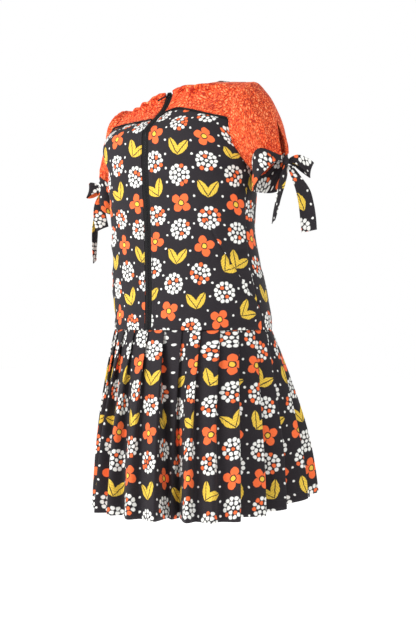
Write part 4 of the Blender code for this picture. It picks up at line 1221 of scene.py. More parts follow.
class Value:
    """A socket of a shader node that takes part in sums, written as Python writes them."""

    def __init__(self, wiring, socket):
        self.wiring = wiring
        self.socket = socket

    def __add__(self, other):
        return self.wiring.math("ADD", self, other)

    def __sub__(self, other):
        return self.wiring.math("SUBTRACT", self, other)

    def __rsub__(self, other):
        return self.wiring.math("SUBTRACT", other, self)

    def __mul__(self, other):
        return self.wiring.math("MULTIPLY", self, other)

    def __truediv__(self, other):
        return self.wiring.math("DIVIDE", self, other)

    def __rtruediv__(self, other):
        return self.wiring.math("DIVIDE", other, self)

    def __mod__(self, other):
        return self.wiring.math("FLOORED_MODULO", self, other)

    def __pow__(self, other):
        return self.wiring.math("POWER", self, other)

    def __lt__(self, other):
        return self.wiring.math("LESS_THAN", self, other)

    def __gt__(self, other):
        return self.wiring.math("GREATER_THAN", self, other)

    def __abs__(self):
        return self.wiring.math("ABSOLUTE", self)


class Wiring:
    """Short names for the shader nodes that the cloths are made of."""

    def __init__(self, tree):
        self.tree = tree

    def node(self, kind, **settings):
        made = self.tree.nodes.new(kind)
        for name, value in settings.items():
            setattr(made, name, value)
        return made

    def out(self, node, output=0):
        return Value(self, node.outputs[output])

    def feed(self, socket, value):
        if isinstance(value, Value):
            self.tree.links.new(value.socket, socket)
        else:
            socket.default_value = value

    def made(self, kind, values, output=0, **settings):
        """One output of a new node whose inputs are fed by number or name."""
        node = self.node(kind, **settings)
        for place, value in values.items():
            self.feed(node.inputs[place], value)
        return self.out(node, output)

    def math(self, operation, *values, clamp=False):
        return self.made("ShaderNodeMath", dict(enumerate(values)), operation=operation, use_clamp=clamp)

    def floor(self, value):
        return self.math("FLOOR", value)

    def fract(self, value):
        return self.math("FRACT", value)

    def length(self, x, y):
        return self.math("SQRT", x * x + y * y)

    def vector(self, operation, *values):
        return self.made("ShaderNodeVectorMath", dict(enumerate(values)), "Vector", operation=operation)

    def scaled(self, vector, factor):
        return self.made("ShaderNodeVectorMath", {0: vector, "Scale": factor}, "Vector", operation="SCALE")

    def split(self, vector):
        node = self.node("ShaderNodeSeparateXYZ")
        self.feed(node.inputs[0], vector)
        return [self.out(node, axis) for axis in range(3)]

    def join(self, x, y, z=0.0):
        return self.made("ShaderNodeCombineXYZ", {0: x, 1: y, 2: z})

    def below(self, value, limit, softness):
        """1 where value is below limit, with a soft edge."""
        return self.made("ShaderNodeMapRange", {
            "Value": value,
            "From Min": limit - softness,
            "From Max": limit + softness,
            "To Min": 1.0,
            "To Max": 0.0,
        }, interpolation_type="SMOOTHSTEP")

    def mix(self, factor, low, high):
        return self.made("ShaderNodeMix", {"Factor": factor, 6: low, 7: high}, 2, data_type="RGBA")

    def noise(self, vector, scale, detail, output="Fac"):
        return self.made("ShaderNodeTexNoise", {"Vector": vector, "Scale": scale, "Detail": detail}, output)

    def chance(self, vector):
        return self.made("ShaderNodeTexWhiteNoise", {"Vector": vector}, "Value", noise_dimensions="3D")

    def bump(self, height, strength, depth):
        return self.made("ShaderNodeBump", {"Strength": strength, "Distance": depth, "Height": height})

    def group(self, group, values):
        node = self.node("ShaderNodeGroup", node_tree=group)
        for label, value in values.items():
            self.feed(node.inputs[label], value)
        return node


def new_group(name, inputs, outputs):
    """A shader node group with named sockets: its wiring, its inputs and its output node."""
    group = bpy.data.node_groups.new(name, "ShaderNodeTree")
    for label, kind, default in inputs:
        socket = group.interface.new_socket(name=label, in_out="INPUT", socket_type=kind)
        if default is not None:
            socket.default_value = default
    for label, kind in outputs:
        group.interface.new_socket(name=label, in_out="OUTPUT", socket_type=kind)
    w = Wiring(group)
    given = w.node("NodeGroupInput")
    return group, w, [w.out(given, label) for label, _, _ in inputs], w.node("NodeGroupOutput")


def once(name, build):
    return bpy.data.node_groups.get(name) or build(name)


def opaque(colour):
    return (*colour, 1.0)


def ring_of_dots(w, angle, radius, ring):
    """A mask of dots set evenly round a circle, and the number of each dot."""
    count, ring_radius, dot_radius = ring
    turned = angle * (count / (2 * math.pi))
    aside = (w.fract(turned) - 0.5) * (2 * math.pi * ring_radius / count)
    return w.below(w.length(aside, radius - ring_radius), dot_radius, DOT_EDGE), w.floor(turned)


def blossom_print(name):
    """A half-drop print of dotted rosettes, petalled blossoms and paired leaves on a dark ground."""
    group, w, (cloth, pitch, ground, orange, yellow, white), put = new_group(name, (
        ("Cloth", "NodeSocketVector", None),
        ("Pitch", "NodeSocketFloat", 0.062),
        ("Ground", "NodeSocketColor", (0.03, 0.03, 0.04, 1)),
        ("Orange", "NodeSocketColor", (0.9, 0.2, 0.05, 1)),
        ("Yellow", "NodeSocketColor", (0.8, 0.6, 0.08, 1)),
        ("White", "NodeSocketColor", (0.9, 0.9, 0.85, 1)),
    ), (("Color", "NodeSocketColor"),))
    wobble = w.vector("SUBTRACT", w.noise(cloth, PRINT_WOBBLE_SCALE, 1.0, "Color"), (0.5, 0.5, 0.5))
    loose = w.vector("ADD", cloth, w.scaled(wobble, PRINT_WOBBLE))
    across, up, _ = w.split(w.vector("DIVIDE", loose, w.join(pitch, pitch, 1.0)))
    column = w.floor(across)
    dropped = up + column % 2.0 * 0.5
    row = w.floor(dropped)
    centred = w.join(w.fract(across) - 0.5, w.fract(dropped) - 0.5)
    tilt = (w.chance(w.join(column, row, 3.0)) - 0.5) * MOTIF_TILT
    tilted = w.made("ShaderNodeVectorRotate", {"Vector": centred, "Angle": tilt}, rotation_type="Z_AXIS")
    x, y, _ = w.split(tilted)
    radius = w.length(x, y)
    angle = w.math("ARCTAN2", y, x) + math.pi

    outer, outer_number = ring_of_dots(w, angle, radius, OUTER_DOTS)
    inner, inner_number = ring_of_dots(w, angle, radius, INNER_DOTS)
    heart = w.below(radius, HEART_RADIUS, DOT_EDGE)
    dots = w.math("MAXIMUM", w.math("MAXIMUM", outer, inner), heart)
    past_inner = radius > OUTER_DOTS_FROM
    in_inner = (radius > INNER_DOTS_FROM) * (inner_number + INNER_NUMBERS_FROM)
    dot_number = past_inner * outer_number + (1.0 - past_inner) * in_inner
    tinted = w.chance(w.join(dot_number, row, column)) > TINTED_DOTS
    dot_colour = w.mix(tinted, white, orange)

    lobes = abs(w.math("COSINE", angle * 2.0)) ** PETAL_POWER
    petals = w.below(radius, w.math("MULTIPLY_ADD", lobes, PETAL_LENGTH, PETAL_ROOT), DOT_EDGE)
    blossom = petals * (1.0 - w.below(abs(radius - CORE_GAP_RADIUS), *CORE_GAP))
    blossom_colour = w.mix(w.below(radius, *CORE), orange, yellow)

    aside = abs(x) - LEAF_ASIDE
    along_leaf = aside * math.sin(LEAF_LEAN) + y * math.cos(LEAF_LEAN)
    beside = abs(aside * math.cos(LEAF_LEAN) - y * math.sin(LEAF_LEAN))
    leaf_length = along_leaf / LEAF_HALF_LENGTH
    belly = (1.0 - leaf_length * leaf_length) * LEAF_HALF_WIDTH
    leaf = w.below(beside, belly, LEAF_EDGE) * (1.0 - w.below(beside, *LEAF_VEIN))
    stroke = w.math("SINE", (along_leaf + beside) * LEAF_STROKES)
    leaf_colour = w.mix((stroke > LEAF_STROKE_FROM) * LEAF_STROKE_SHARE, yellow, opaque(LEAF_STROKE_TONE))

    even_row = row % 2.0 < 0.5
    odd_row = 1.0 - even_row
    turn_about = (w.floor(row * 0.5) + column) % 2.0
    rosette_here = dots * even_row
    blossom_here = blossom * (odd_row * turn_about)
    leaf_here = leaf * (odd_row * (1.0 - turn_about))
    between_x = abs(w.fract(across + 0.5) - 0.5)
    between_y = abs(w.fract(up * 2.0) - 0.5) * 0.5
    speck = w.below(w.length(between_x, between_y), *SPECK)

    colour = w.mix(rosette_here, ground, dot_colour)
    colour = w.mix(blossom_here, colour, blossom_colour)
    colour = w.mix(leaf_here, colour, leaf_colour)
    inked = w.math("MAXIMUM", rosette_here, w.math("MAXIMUM", blossom_here, leaf_here))
    colour = w.mix(speck * (1.0 - inked), colour, white)
    wear = w.math("MULTIPLY", w.noise(cloth, PRINT_WEAR_SCALE, 3.0) - PRINT_WEAR_FROM, 0.5, clamp=True)
    w.feed(put.inputs["Color"], w.mix(wear, colour, opaque(WORN_TONE)))
    return group


def squiggle_print(name):
    """A fine all-over print of short worm-like lines with paler flecks between them."""
    group, w, (cloth, spacing, orange, dark, pale), put = new_group(name, (
        ("Cloth", "NodeSocketVector", None),
        ("Line spacing", "NodeSocketFloat", 0.006),
        ("Orange", "NodeSocketColor", (0.87, 0.10, 0.02, 1)),
        ("Dark", "NodeSocketColor", (0.45, 0.03, 0.01, 1)),
        ("Pale", "NodeSocketColor", (0.95, 0.40, 0.18, 1)),
    ), (("Color", "NodeSocketColor"),))
    scale = 1.0 / spacing
    wave = abs(w.noise(cloth, scale, SQUIGGLE_DETAIL) - 0.5)
    line = w.below(wave, *SQUIGGLE_LINE)
    middle = 1.0 - w.below(wave, *SQUIGGLE_FLECK)
    fine = abs(w.noise(w.vector("ADD", cloth, SQUIGGLE_SHIFT), scale, 0.0) - 0.5)
    dash = w.below(fine, *SQUIGGLE_DASH) * (1.0 - line)
    colour = w.mix(line, orange, dark)
    colour = w.mix(w.math("MAXIMUM", middle, dash) * SQUIGGLE_PALENESS, colour, pale)
    w.feed(put.inputs["Color"], colour)
    return group


def cloth_surface(name):
    """The height of a plain weave with soft rumples, and a faint change of shade."""
    group, w, (cloth, thread_pitch, rumple), put = new_group(name, (
        ("Cloth", "NodeSocketVector", None),
        ("Thread pitch", "NodeSocketFloat", 0.0006),
        ("Rumple", "NodeSocketFloat", 0.4),
    ), (("Height", "NodeSocketFloat"), ("Shade", "NodeSocketFloat")))
    across, up, _ = w.split(cloth)
    turns = math.pi / thread_pitch
    weave = w.math("SINE", across * turns) * w.math("SINE", up * turns) * 0.5
    rumples = w.noise(cloth, 26.0, 3.0) + w.noise(cloth, 160.0, 2.0) * 0.18
    w.feed(put.inputs["Height"], weave * 0.10 + rumples * rumple)
    w.feed(put.inputs["Shade"], w.math("MULTIPLY_ADD", w.noise(cloth, 9.0, 3.0), 0.22, 0.89))
    return group


def start_material(name, roughness, metallic=0.0):
    material = bpy.data.materials.new(name)
    material.use_nodes = True
    wiring = Wiring(material.node_tree)
    shader = material.node_tree.nodes["Principled BSDF"]
    shader.inputs["Roughness"].default_value = roughness
    shader.inputs["Metallic"].default_value = metallic
    return material, wiring, shader


def made_once(build):
    """Lets a material be built only the first time that its name is asked for."""
    def find_or_build(name, *values):
        return bpy.data.materials.get(name) or build(name, *values)
    return find_or_build


def cloth_map(w):
    return w.out(w.node("ShaderNodeUVMap", uv_map="cloth"))


def object_map(w):
    return w.out(w.node("ShaderNodeTexCoord"), "Object")


@made_once
def printed_cotton(name, roughness, print_name, build_print, values):
    """A cotton with one of the prints, shaded a little, with its weave and rumples."""
    material, w, shader = start_material(name, roughness)
    cloth = cloth_map(w)
    pattern = w.group(once(print_name, build_print), {"Cloth": cloth, **values})
    surface = w.group(once("Cloth surface", cloth_surface), {"Cloth": cloth, "Rumple": COTTON_RUMPLE})
    shade = w.out(surface, "Shade")
    w.feed(shader.inputs["Base Color"], w.vector("MULTIPLY", w.out(pattern), w.join(shade, shade, shade)))
    w.feed(shader.inputs["Normal"], w.bump(w.out(surface, "Height"), COTTON_BUMP, COTTON_BUMP_DEPTH))
    shader.inputs["Sheen Weight"].default_value = COTTON_SHEEN
    shader.inputs["Sheen Roughness"].default_value = COTTON_SHEEN_ROUGHNESS
    shader.inputs["Specular IOR Level"].default_value = COTTON_SPECULAR
    return material


def dark_cotton():
    look = bpy.context.scene.dress_look
    return printed_cotton(DARK_COTTON, DARK_COTTON_ROUGHNESS, "Blossom print", blossom_print, {
        "Pitch": look.print_pitch,
        "Ground": opaque(look.ground),
        "Orange": opaque(look.orange),
        "Yellow": opaque(look.yellow),
        "White": opaque(look.white),
    })


def orange_cotton():
    look = bpy.context.scene.dress_look
    return printed_cotton(ORANGE_COTTON, ORANGE_COTTON_ROUGHNESS, "Squiggle print", squiggle_print, {
        "Line spacing": look.squiggle_spacing,
        "Orange": opaque(look.yoke_orange),
        "Dark": opaque(look.yoke_dark),
        "Pale": opaque(look.yoke_pale),
    })


@made_once
def black_cloth(name, tone, line_pitch, strength):
    """Black piping or zip tape with fine slanted ribs."""
    material, w, shader = start_material(name, BLACK_CLOTH_ROUGHNESS)
    shader.inputs["Specular IOR Level"].default_value = BLACK_CLOTH_SPECULAR
    cloth = cloth_map(w)
    across, up, _ = w.split(cloth)
    ribs = w.math("SINE", (across + abs(up) * RIB_SLANT) * (2 * math.pi / line_pitch))
    shade = w.math("MULTIPLY_ADD", w.noise(cloth, 900.0, 1.0), 0.5, 0.75)
    w.feed(shader.inputs["Base Color"], w.vector("MULTIPLY", w.join(*tone), w.join(shade, shade, shade)))
    w.feed(shader.inputs["Normal"], w.bump(ribs, strength, RIB_DEPTH))
    return material


@made_once
def lacquered_metal(name):
    """Black lacquered metal with small scuffs."""
    material, w, shader = start_material(name, METAL_ROUGHNESS, METAL_METALLIC)
    where = object_map(w)
    scuffs = w.noise(where, 900.0, 4.0) > SCUFFS_FROM
    w.feed(shader.inputs["Base Color"], w.mix(scuffs * 0.6, opaque(METAL_TONE), opaque(SCUFF_TONE)))
    w.feed(shader.inputs["Roughness"], w.math("MULTIPLY_ADD", w.noise(where, 300.0, 3.0), 0.25, 0.22))
    return material


@made_once
def thread(name, tone):
    material, w, shader = start_material(name, THREAD_ROUGHNESS)
    dark_tone = [value * THREAD_SHADE for value in tone]
    twist = w.noise(object_map(w), 2400.0, 1.0)
    w.feed(shader.inputs["Base Color"], w.mix(twist, opaque(tone), opaque(dark_tone)))
    return material


def length_setting(name, description, default):
    return FloatProperty(name=name, description=description, default=default, unit="LENGTH")


def count_setting(name, description, default):
    return IntProperty(name=name, description=description, default=default, min=2)


def power_setting(name, description, default):
    return FloatProperty(name=name, description=description, default=default, min=0.0)


def colour_setting(name, description, default):
    return FloatVectorProperty(name=name, description=description, default=default, subtype="COLOR")


class DressSizes(PropertyGroup):
    """Sizes that a user would change."""

    cloth_thickness: length_setting("Cloth thickness", "Thickness of the cotton as modelled", 0.0010)
    stitch_length: length_setting("Stitch length", "Length of one topstitch", 0.0026)
    stitch_gap: length_setting("Stitch gap", "Gap between two stitches", 0.0009)
    thread_radius: length_setting("Thread radius", "Half of the thread's thickness", 0.00022)
    tooth_pitch: length_setting("Tooth pitch", "Distance from one zip tooth to the next", 0.0021)
    points_per_fold: count_setting("Points a fold", "Points between two control points of a pleat", 6)
    skirt_rows: count_setting("Skirt rows", "Rows from the waist seam to the hem", 56)
    gathers: count_setting("Gathers", "Gathers round each sleeve's lower edge", 23)


class DressLook(PropertyGroup):
    """Colours and repeats of the two prints."""

    print_pitch: length_setting("Print pitch", "Width of the dark print's repeat", 0.060)
    squiggle_spacing: length_setting("Squiggle spacing", "Size of the orange print's lines", 0.0070)
    ground: colour_setting("Ground", "Dark ground of the main print", (0.0165, 0.0130, 0.0165))
    orange: colour_setting("Orange", "Blossoms of the main print", (0.93, 0.155, 0.040))
    yellow: colour_setting("Yellow", "Leaves of the main print", (0.84, 0.56, 0.060))
    white: colour_setting("White", "Dots of the main print", (0.86, 0.86, 0.82))
    yoke_orange: colour_setting("Yoke orange", "Ground of the yoke print", (0.90, 0.105, 0.022))
    yoke_dark: colour_setting("Yoke dark", "Lines of the yoke print", (0.44, 0.028, 0.010))
    yoke_pale: colour_setting("Yoke pale", "Flecks of the yoke print", (0.95, 0.40, 0.17))


class DressStage(PropertyGroup):
    """Camera, lights and floor."""

    azimuth: FloatProperty(name="Camera azimuth", description="Turn of the camera towards the wearer's left",
                           default=math.radians(38.0), subtype="ANGLE")
    distance: length_setting("Camera distance", "From the dress's axis", 3.0)
    eye_height: length_setting("Eye height", "Height of the camera", -0.518)
    lens: FloatProperty(name="Lens", description="Focal length in millimetres", default=77.5)
    floor_height: length_setting("Floor height", "Height of the floor", -1.45)
    key_power: power_setting("Key light", "Watts of the main soft light", 92.0)
    fill_power: power_setting("Fill light", "Watts of the weaker soft light", 20.0)
    sky: power_setting("Surround", "Light that the pale surround gives", 0.50)


class DRESS_OT_bodice(Operator):
    """Build the front bodice panels with their darts, and the back"""

    bl_idname = "dress.bodice"
    bl_label = "Bodice"

    def execute(self, context):
        sizes = context.scene.dress_sizes
        for side, hand in SIDES:
            self.front(side, hand, sizes)
        self.back(sizes)
        return {"FINISHED"}

    def front(self, side, hand, sizes):
        sheet = bodice_front_sheet(side)
        metres = cloth_metres(sheet)
        distance, _ = distance_to_line(metres, DART)
        from_tip = np.linalg.norm(metres - np.array(DART[0]), axis=-1)
        lift = creased(metres, FRONT_CREASES, FRONT_UNEVENNESS * side)
        lift += soft_waves(metres, FRONT_WAVES, FRONT_PHASE + side)
        lift += bump(from_tip, 0.0, DART_PUFF_REACH, DART_PUFF)
        lift *= edge_fade(metres, FRONT_FADES)
        lift += bump(distance, 0.0, DART_HALF_WIDTH, -DART_DEPTH) + bump(distance, *DART_LIP)
        lift += seam_dip(metres, ("last", "low", "high"))
        lift += ZIP_LIP * smooth_step(*ZIP_LIP_REACH, metres[..., 0])
        mirror = np.array((side, 1.0))
        start = np.array(FRONT_PRINT) * mirror
        middles = on_faces(metres)
        below = below_dart(middles) | (middles[..., 0] <= DART[0][0])
        turned = (metres + dart_turn(metres)) * mirror + start
        piece = cloth_object(f"cloth_bodice_front_{hand}", raised(sheet, lift, side), metres * mirror + start,
                             side, dark_cotton(), sizes.cloth_thickness, other_uv=turned, uses_other=below)
        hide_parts(f"bodice_front_{hand}")

    def back(self, sizes):
        sheet = back_sheet()
        metres = cloth_metres(sheet)
        rows, columns = sheet.shape[:2]
        middle = columns // 2
        centre = metres[:, middle - 1:middle + 1, 0].mean(axis=1, keepdims=True)
        centred = np.stack((metres[..., 0] - centre, metres[..., 1]), axis=-1)
        kept = np.ones((rows - 1, columns - 1), dtype=bool)
        kept[(rows - 1) * NECK_ROW // BACK_TOP_ROW:, middle - 1] = False
        lift = creased(centred, BACK_CREASES, BACK_UNEVENNESS)
        lift += soft_waves(centred, BACK_WAVES, BACK_PHASE)
        lift *= edge_fade(metres, BACK_FADES)
        lift += seam_dip(metres, ("first", "last", "low"))
        uv = print_map(sheet, centred[..., 0]) + np.array(BACK_PRINT)
        piece = cloth_object("cloth_bodice_back", raised(sheet, lift, -1), uv, -1,
                             dark_cotton(), sizes.cloth_thickness, kept)
        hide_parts("bodice_back")


class DRESS_OT_yokes(Operator):
    """Build the front yokes and the piping over their seams"""

    bl_idname = "dress.yokes"
    bl_label = "Yokes and piping"

    def execute(self, context):
        sizes = context.scene.dress_sizes
        for side, hand in SIDES:
            sheet = yoke_sheet(side)
            metres = cloth_metres(sheet)
            lift = creased(metres, YOKE_CREASES, YOKE_UNEVENNESS * side)
            lift += soft_waves(metres, YOKE_WAVES, YOKE_PHASE * side)
            lift *= edge_fade(metres, YOKE_FADES)
            lift += seam_dip(metres, ("low",)) + seam_dip(metres, ("last",), *ARMHOLE_DIP)
            surface = raised(sheet, lift, side)
            uv = print_map(sheet, metres[..., 0] + np.abs(sheet[:, :1, 0])) * np.array((side, 1.0))
            piece = cloth_object(f"cloth_yoke_{hand}", surface, uv + np.array(YOKE_PRINT), side,
                                 orange_cotton(), sizes.cloth_thickness)
            sewn = stitch_object(f"thread_yoke_{hand}", [sewn_row(surface, side, YOKE_STITCH_ROW, sizes)],
                                 thread("rust thread", RUST), sizes)
            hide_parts(f"yoke_{hand}")
            self.piping(sheet[0], sheet_normals(sheet, side)[0], hand)
        return {"FINISHED"}

    def piping(self, seam, outward, hand):
        waver = PIPING_WAVER * np.sin(np.arange(len(seam)) * PIPING_WAVER_RATE)
        path = seam + outward * (PIPING_RISE + waver)[:, None]
        end = -PIPING_POINTS_SHORT
        piece = tube_object(f"cord_yoke_piping_{hand}", path[:end], outward[:end],
                            PIPING_HALF_WIDTH, PIPING_HALF_HEIGHT, PIPING_SIDES,
                            black_cloth("black piping", PIPING_TONE, PIPING_RIB_PITCH, PIPING_RIB_STRENGTH))
        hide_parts(f"yoke_piping_{hand}")


class DRESS_OT_zip(Operator):
    """Build the zip's tapes, teeth and topstitching, and finish its slider and pull tab"""

    bl_idname = "dress.zip"
    bl_label = "Zip"

    def execute(self, context):
        sizes = context.scene.dress_sizes
        row = np.linspace(0.0, NECK_ROW, ZIP_ROWS)
        share = np.linspace(0.0, TAPE_WIDTH, ZIP_COLUMNS)
        tape = black_cloth("black zip tape", TAPE_TONE, TAPE_RIB_PITCH, TAPE_RIB_STRENGTH)
        stitches = []
        for side, hand in SIDES:
            sheet = front_points(side, zip_edge(row)[:, None] * share[None, :], row[:, None])
            metres = cloth_metres(sheet)
            lift = bump(metres[..., 0], *TAPE_CORD) - TAPE_TUCK * smooth_step(*TAPE_TUCK_SHARES, share)
            piece = cloth_object(f"cloth_zip_tape_{hand}", raised(sheet, lift, side),
                                 metres * np.array((side, 1.0)), side, tape, TAPE_THICKNESS)
            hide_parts(f"zip_tape_{hand}")
            stitches += [self.stitch_line(side, row, aside, sizes) for aside in ZIP_STITCHES_ASIDE]
        sewn = stitch_object("thread_zip", stitches, thread("charcoal thread", CHARCOAL), sizes)
        self.teeth(sizes)
        for name in ("zip_slider", "zip_pull_tab"):
            with_material(bpy.data.objects[name], lacquered_metal(BLACK_METAL))
        return {"FINISHED"}

    def stitch_line(self, side, row, aside, sizes):
        """A row of stitches beside the zip, with the directions that they face."""
        from_edge = zip_edge(row) + aside / HALF_FRONT_WIDTH
        line = front_points(side, from_edge, row)
        beside = front_points(side, from_edge[:, None] + np.array(ZIP_FACING_STEPS), row[:, None])
        outward = unit(np.cross(beside[:, 1] - beside[:, 0], np.gradient(line, axis=0))) * side
        return line + outward * (sizes.cloth_thickness / 2 + ZIP_STITCH_RISE), outward

    def teeth(self, sizes):
        """Two rows of meshed teeth down the middle of the tapes."""
        row = np.linspace(0.0, NECK_ROW - TEETH_SHORT_ROWS, TEETH_LINE_POINTS)
        middle = front_points(1, np.zeros_like(row), row)
        length = lengths_along(middle)
        centres = read_at(np.arange(sizes.tooth_pitch, length[-1], sizes.tooth_pitch / 2), length, middle)
        run = unit(np.gradient(centres, axis=0))
        across = np.array((1.0, 0.0, 0.0))
        out = unit(np.cross(across, run))
        vertices, faces = [], []
        for number, centre in enumerate(centres):
            side = 1 if number % 2 else -1
            prism = prism_faces(len(vertices), len(TOOTH_LAYERS), len(TOOTH_CORNERS))
            faces += [face[::-1] for face in prism] if side > 0 else prism
            for height, grow in TOOTH_LAYERS:
                for reach, along_zip in TOOTH_CORNERS:
                    vertices.append(centre + across * side * (TOOTH_ROOT + (reach - TOOTH_ROOT) * grow)
                                    + run[number] * along_zip * grow * sizes.tooth_pitch / 2
                                    + out[number] * height)
        vertices = np.array(vertices)
        piece = mesh_object("zip_teeth", vertices, faces, vertices[:, :2], lacquered_metal(BLACK_METAL),
                            smooth=False)


class DRESS_OT_sleeves(Operator):
    """Build the puffed sleeves and their tie bands"""

    bl_idname = "dress.sleeves"
    bl_label = "Sleeves and bands"

    def execute(self, context):
        sizes = context.scene.dress_sizes
        for side, hand in SIDES:
            sheet = sleeve_sheet(side)
            metres = self.sleeve_metres(sheet)
            lift = self.sleeve_lift(side, metres, sizes)
            uv = metres + np.array(SLEEVE_PRINT)
            piece = cloth_object(f"cloth_sleeve_{hand}", raised(sheet, lift, -side), uv, -side,
                                 orange_cotton(), sizes.cloth_thickness)
            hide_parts(f"sleeve_{hand}")
            self.band(side, hand, sizes)
        return {"FINISHED"}

    def sleeve_metres(self, sheet):
        """The sleeve laid flat: columns are spaced as at its widest."""
        metres = cloth_metres(sheet)
        widest = metres[int(metres[:, -1, 0].argmax())][None, :, 0]
        return np.stack((np.repeat(widest, len(sheet), axis=0), metres[..., 1]), axis=-1)

    def sleeve_lift(self, side, metres, sizes):
        """Creases, easing at the sleeve head and gathers above the band."""
        rows, columns = metres.shape[:2]
        row = np.linspace(0.0, BAND_ROW, rows)[:, None]
        share = np.linspace(0.0, 1.0, columns)[None, :]
        lift = creased(metres, SLEEVE_CREASES, SLEEVE_UNEVENNESS * side)
        lift += soft_waves(metres, SLEEVE_WAVES, SLEEVE_PHASE * side)
        top = np.cos(2 * math.pi * share) * 0.5 + 0.5
        head = np.sin(share * 2 * math.pi * HEAD_GATHERS + np.sin(share * 19)) * HEAD_GATHER_HEIGHT * top
        head = head * bump(row, HEAD_GATHER_ROW, HEAD_GATHER_SPREAD, 1.0) * smooth_step(0.0, 0.2, row)
        lift = lift * smooth_step(0.0, 0.8, row) + head
        wave = np.sin(share * 2 * math.pi * sizes.gathers + 1.7 * np.sin(share * 23))
        uneven = 0.7 + 0.5 * np.sin(share * 31 + side)
        held = smooth_step(*GATHER_START_ROWS, row) * (1 - 0.5 * smooth_step(*GATHER_END_ROWS, row))
        lift += wave * uneven * GATHER_HEIGHT * held
        return lift + seam_dip(metres, ("low", "high"), SLEEVE_DIP)

    def band(self, side, hand, sizes):
        sheet = band_sheet(side)
        metres = cloth_metres(sheet)
        normals = sheet_normals(sheet, -side)
        lift = creased(metres, BAND_CREASES, BAND_UNEVENNESS * side) + BAND_RISE
        lift += seam_dip(metres, ("low",), *BAND_DIP)
        uv = metres + np.array(BAND_PRINT) + np.array((BAND_PRINT_ASIDE * side, 0.0))
        surface = sheet + normals * lift[..., None]
        piece = cloth_object(f"cloth_sleeve_band_{hand}", surface, uv, -side, dark_cotton(),
                             sizes.cloth_thickness * BAND_LAYERS)
        outer = surface + normals * sizes.cloth_thickness * (BAND_LAYERS - 1) / 2
        sewn = stitch_object(f"thread_sleeve_band_{hand}", [sewn_row(outer, -side, BAND_STITCH_ROW, sizes)],
                             thread("charcoal thread", CHARCOAL), sizes)
        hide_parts(f"sleeve_band_{hand}")


class DRESS_OT_ties(Operator):
    """Build the bows: knot, loop and two tails at each sleeve"""

    bl_idname = "dress.ties"
    bl_label = "Bows"

    def execute(self, context):
        sizes = context.scene.dress_sizes
        for side, hand in SIDES:
            self.knot(side, hand)
            for number, (part, table, seated) in enumerate(BOWS[side]):
                sheet = ribbon_sheet(side, table, seated)
                metres = cloth_metres(sheet)
                half = metres[..., 0] - metres[:, -1:, 0] / 2
                uv = np.stack((half + RIBBON_PRINT_ASIDE * side, metres[..., 1]), axis=-1)
                uv = uv + np.array(RIBBON_PRINT_STEP) * number
                piece = cloth_object(f"cloth_tie_{part}_{hand}", sheet, uv, 1, dark_cotton(),
                                     sizes.cloth_thickness * RIBBON_LAYERS)
                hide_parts(f"tie_{part}_{hand}")
                half_widths = [row[3] for row in table]
                length = float(metres[..., 1].max())
                cut_area = length * 2 * sum(half_widths) / len(table)
                2 * max(half_widths)
        return {"FINISHED"}

    def knot(self, side, hand):
        """A knot wrapped by its own band: soft slanting folds round a small body."""
        tilt = np.linspace(0.0, math.pi, KNOT_RINGS)[1:-1, None]
        angle = np.linspace(0.0, 2 * math.pi, KNOT_TURNS, endpoint=False)[None, :]
        height, slant = KNOT_WIDE_FOLDS
        folds = 1 + height * np.sin(2 * angle + slant * tilt) * np.sin(tilt)
        height, count, slant = KNOT_FINE_FOLDS
        folds = folds + height * np.sin(count * tilt + slant * np.sin(angle))
        ends = 1 - KNOT_END_SHARE + KNOT_END_SHARE * folds
        body = np.stack((np.sin(tilt) * np.cos(angle) * folds, np.sin(tilt) * np.sin(angle) * folds,
                         np.cos(tilt) * np.ones_like(angle) * ends), axis=-1)
        points = np.concatenate((((0.0, 0.0, 1.0),), body.reshape(-1, 3), ((0.0, 0.0, -1.0),)))
        vertices = np.array(KNOT_CENTRE[side]) + points * np.array(KNOT_HALF)
        number = 1 + np.arange((KNOT_RINGS - 2) * KNOT_TURNS).reshape(KNOT_RINGS - 2, KNOT_TURNS)
        after = np.roll(number, -1, axis=1)
        faces = np.stack((number[:-1], number[1:], after[1:], after[:-1]), axis=-1).reshape(-1, 4).tolist()
        last = len(vertices) - 1
        faces += [(0, here, there) for here, there in zip(number[0], after[0])]
        faces += [(here, last, there) for here, there in zip(number[-1], after[-1])]
        uv = np.stack((points[:, 0] * KNOT_HALF[0], points[:, 2] * KNOT_HALF[2]), axis=-1)
        piece = mesh_object(f"cloth_tie_knot_{hand}", vertices, faces, uv, dark_cotton())
        face_out(piece)
        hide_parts(f"tie_knot_{hand}")


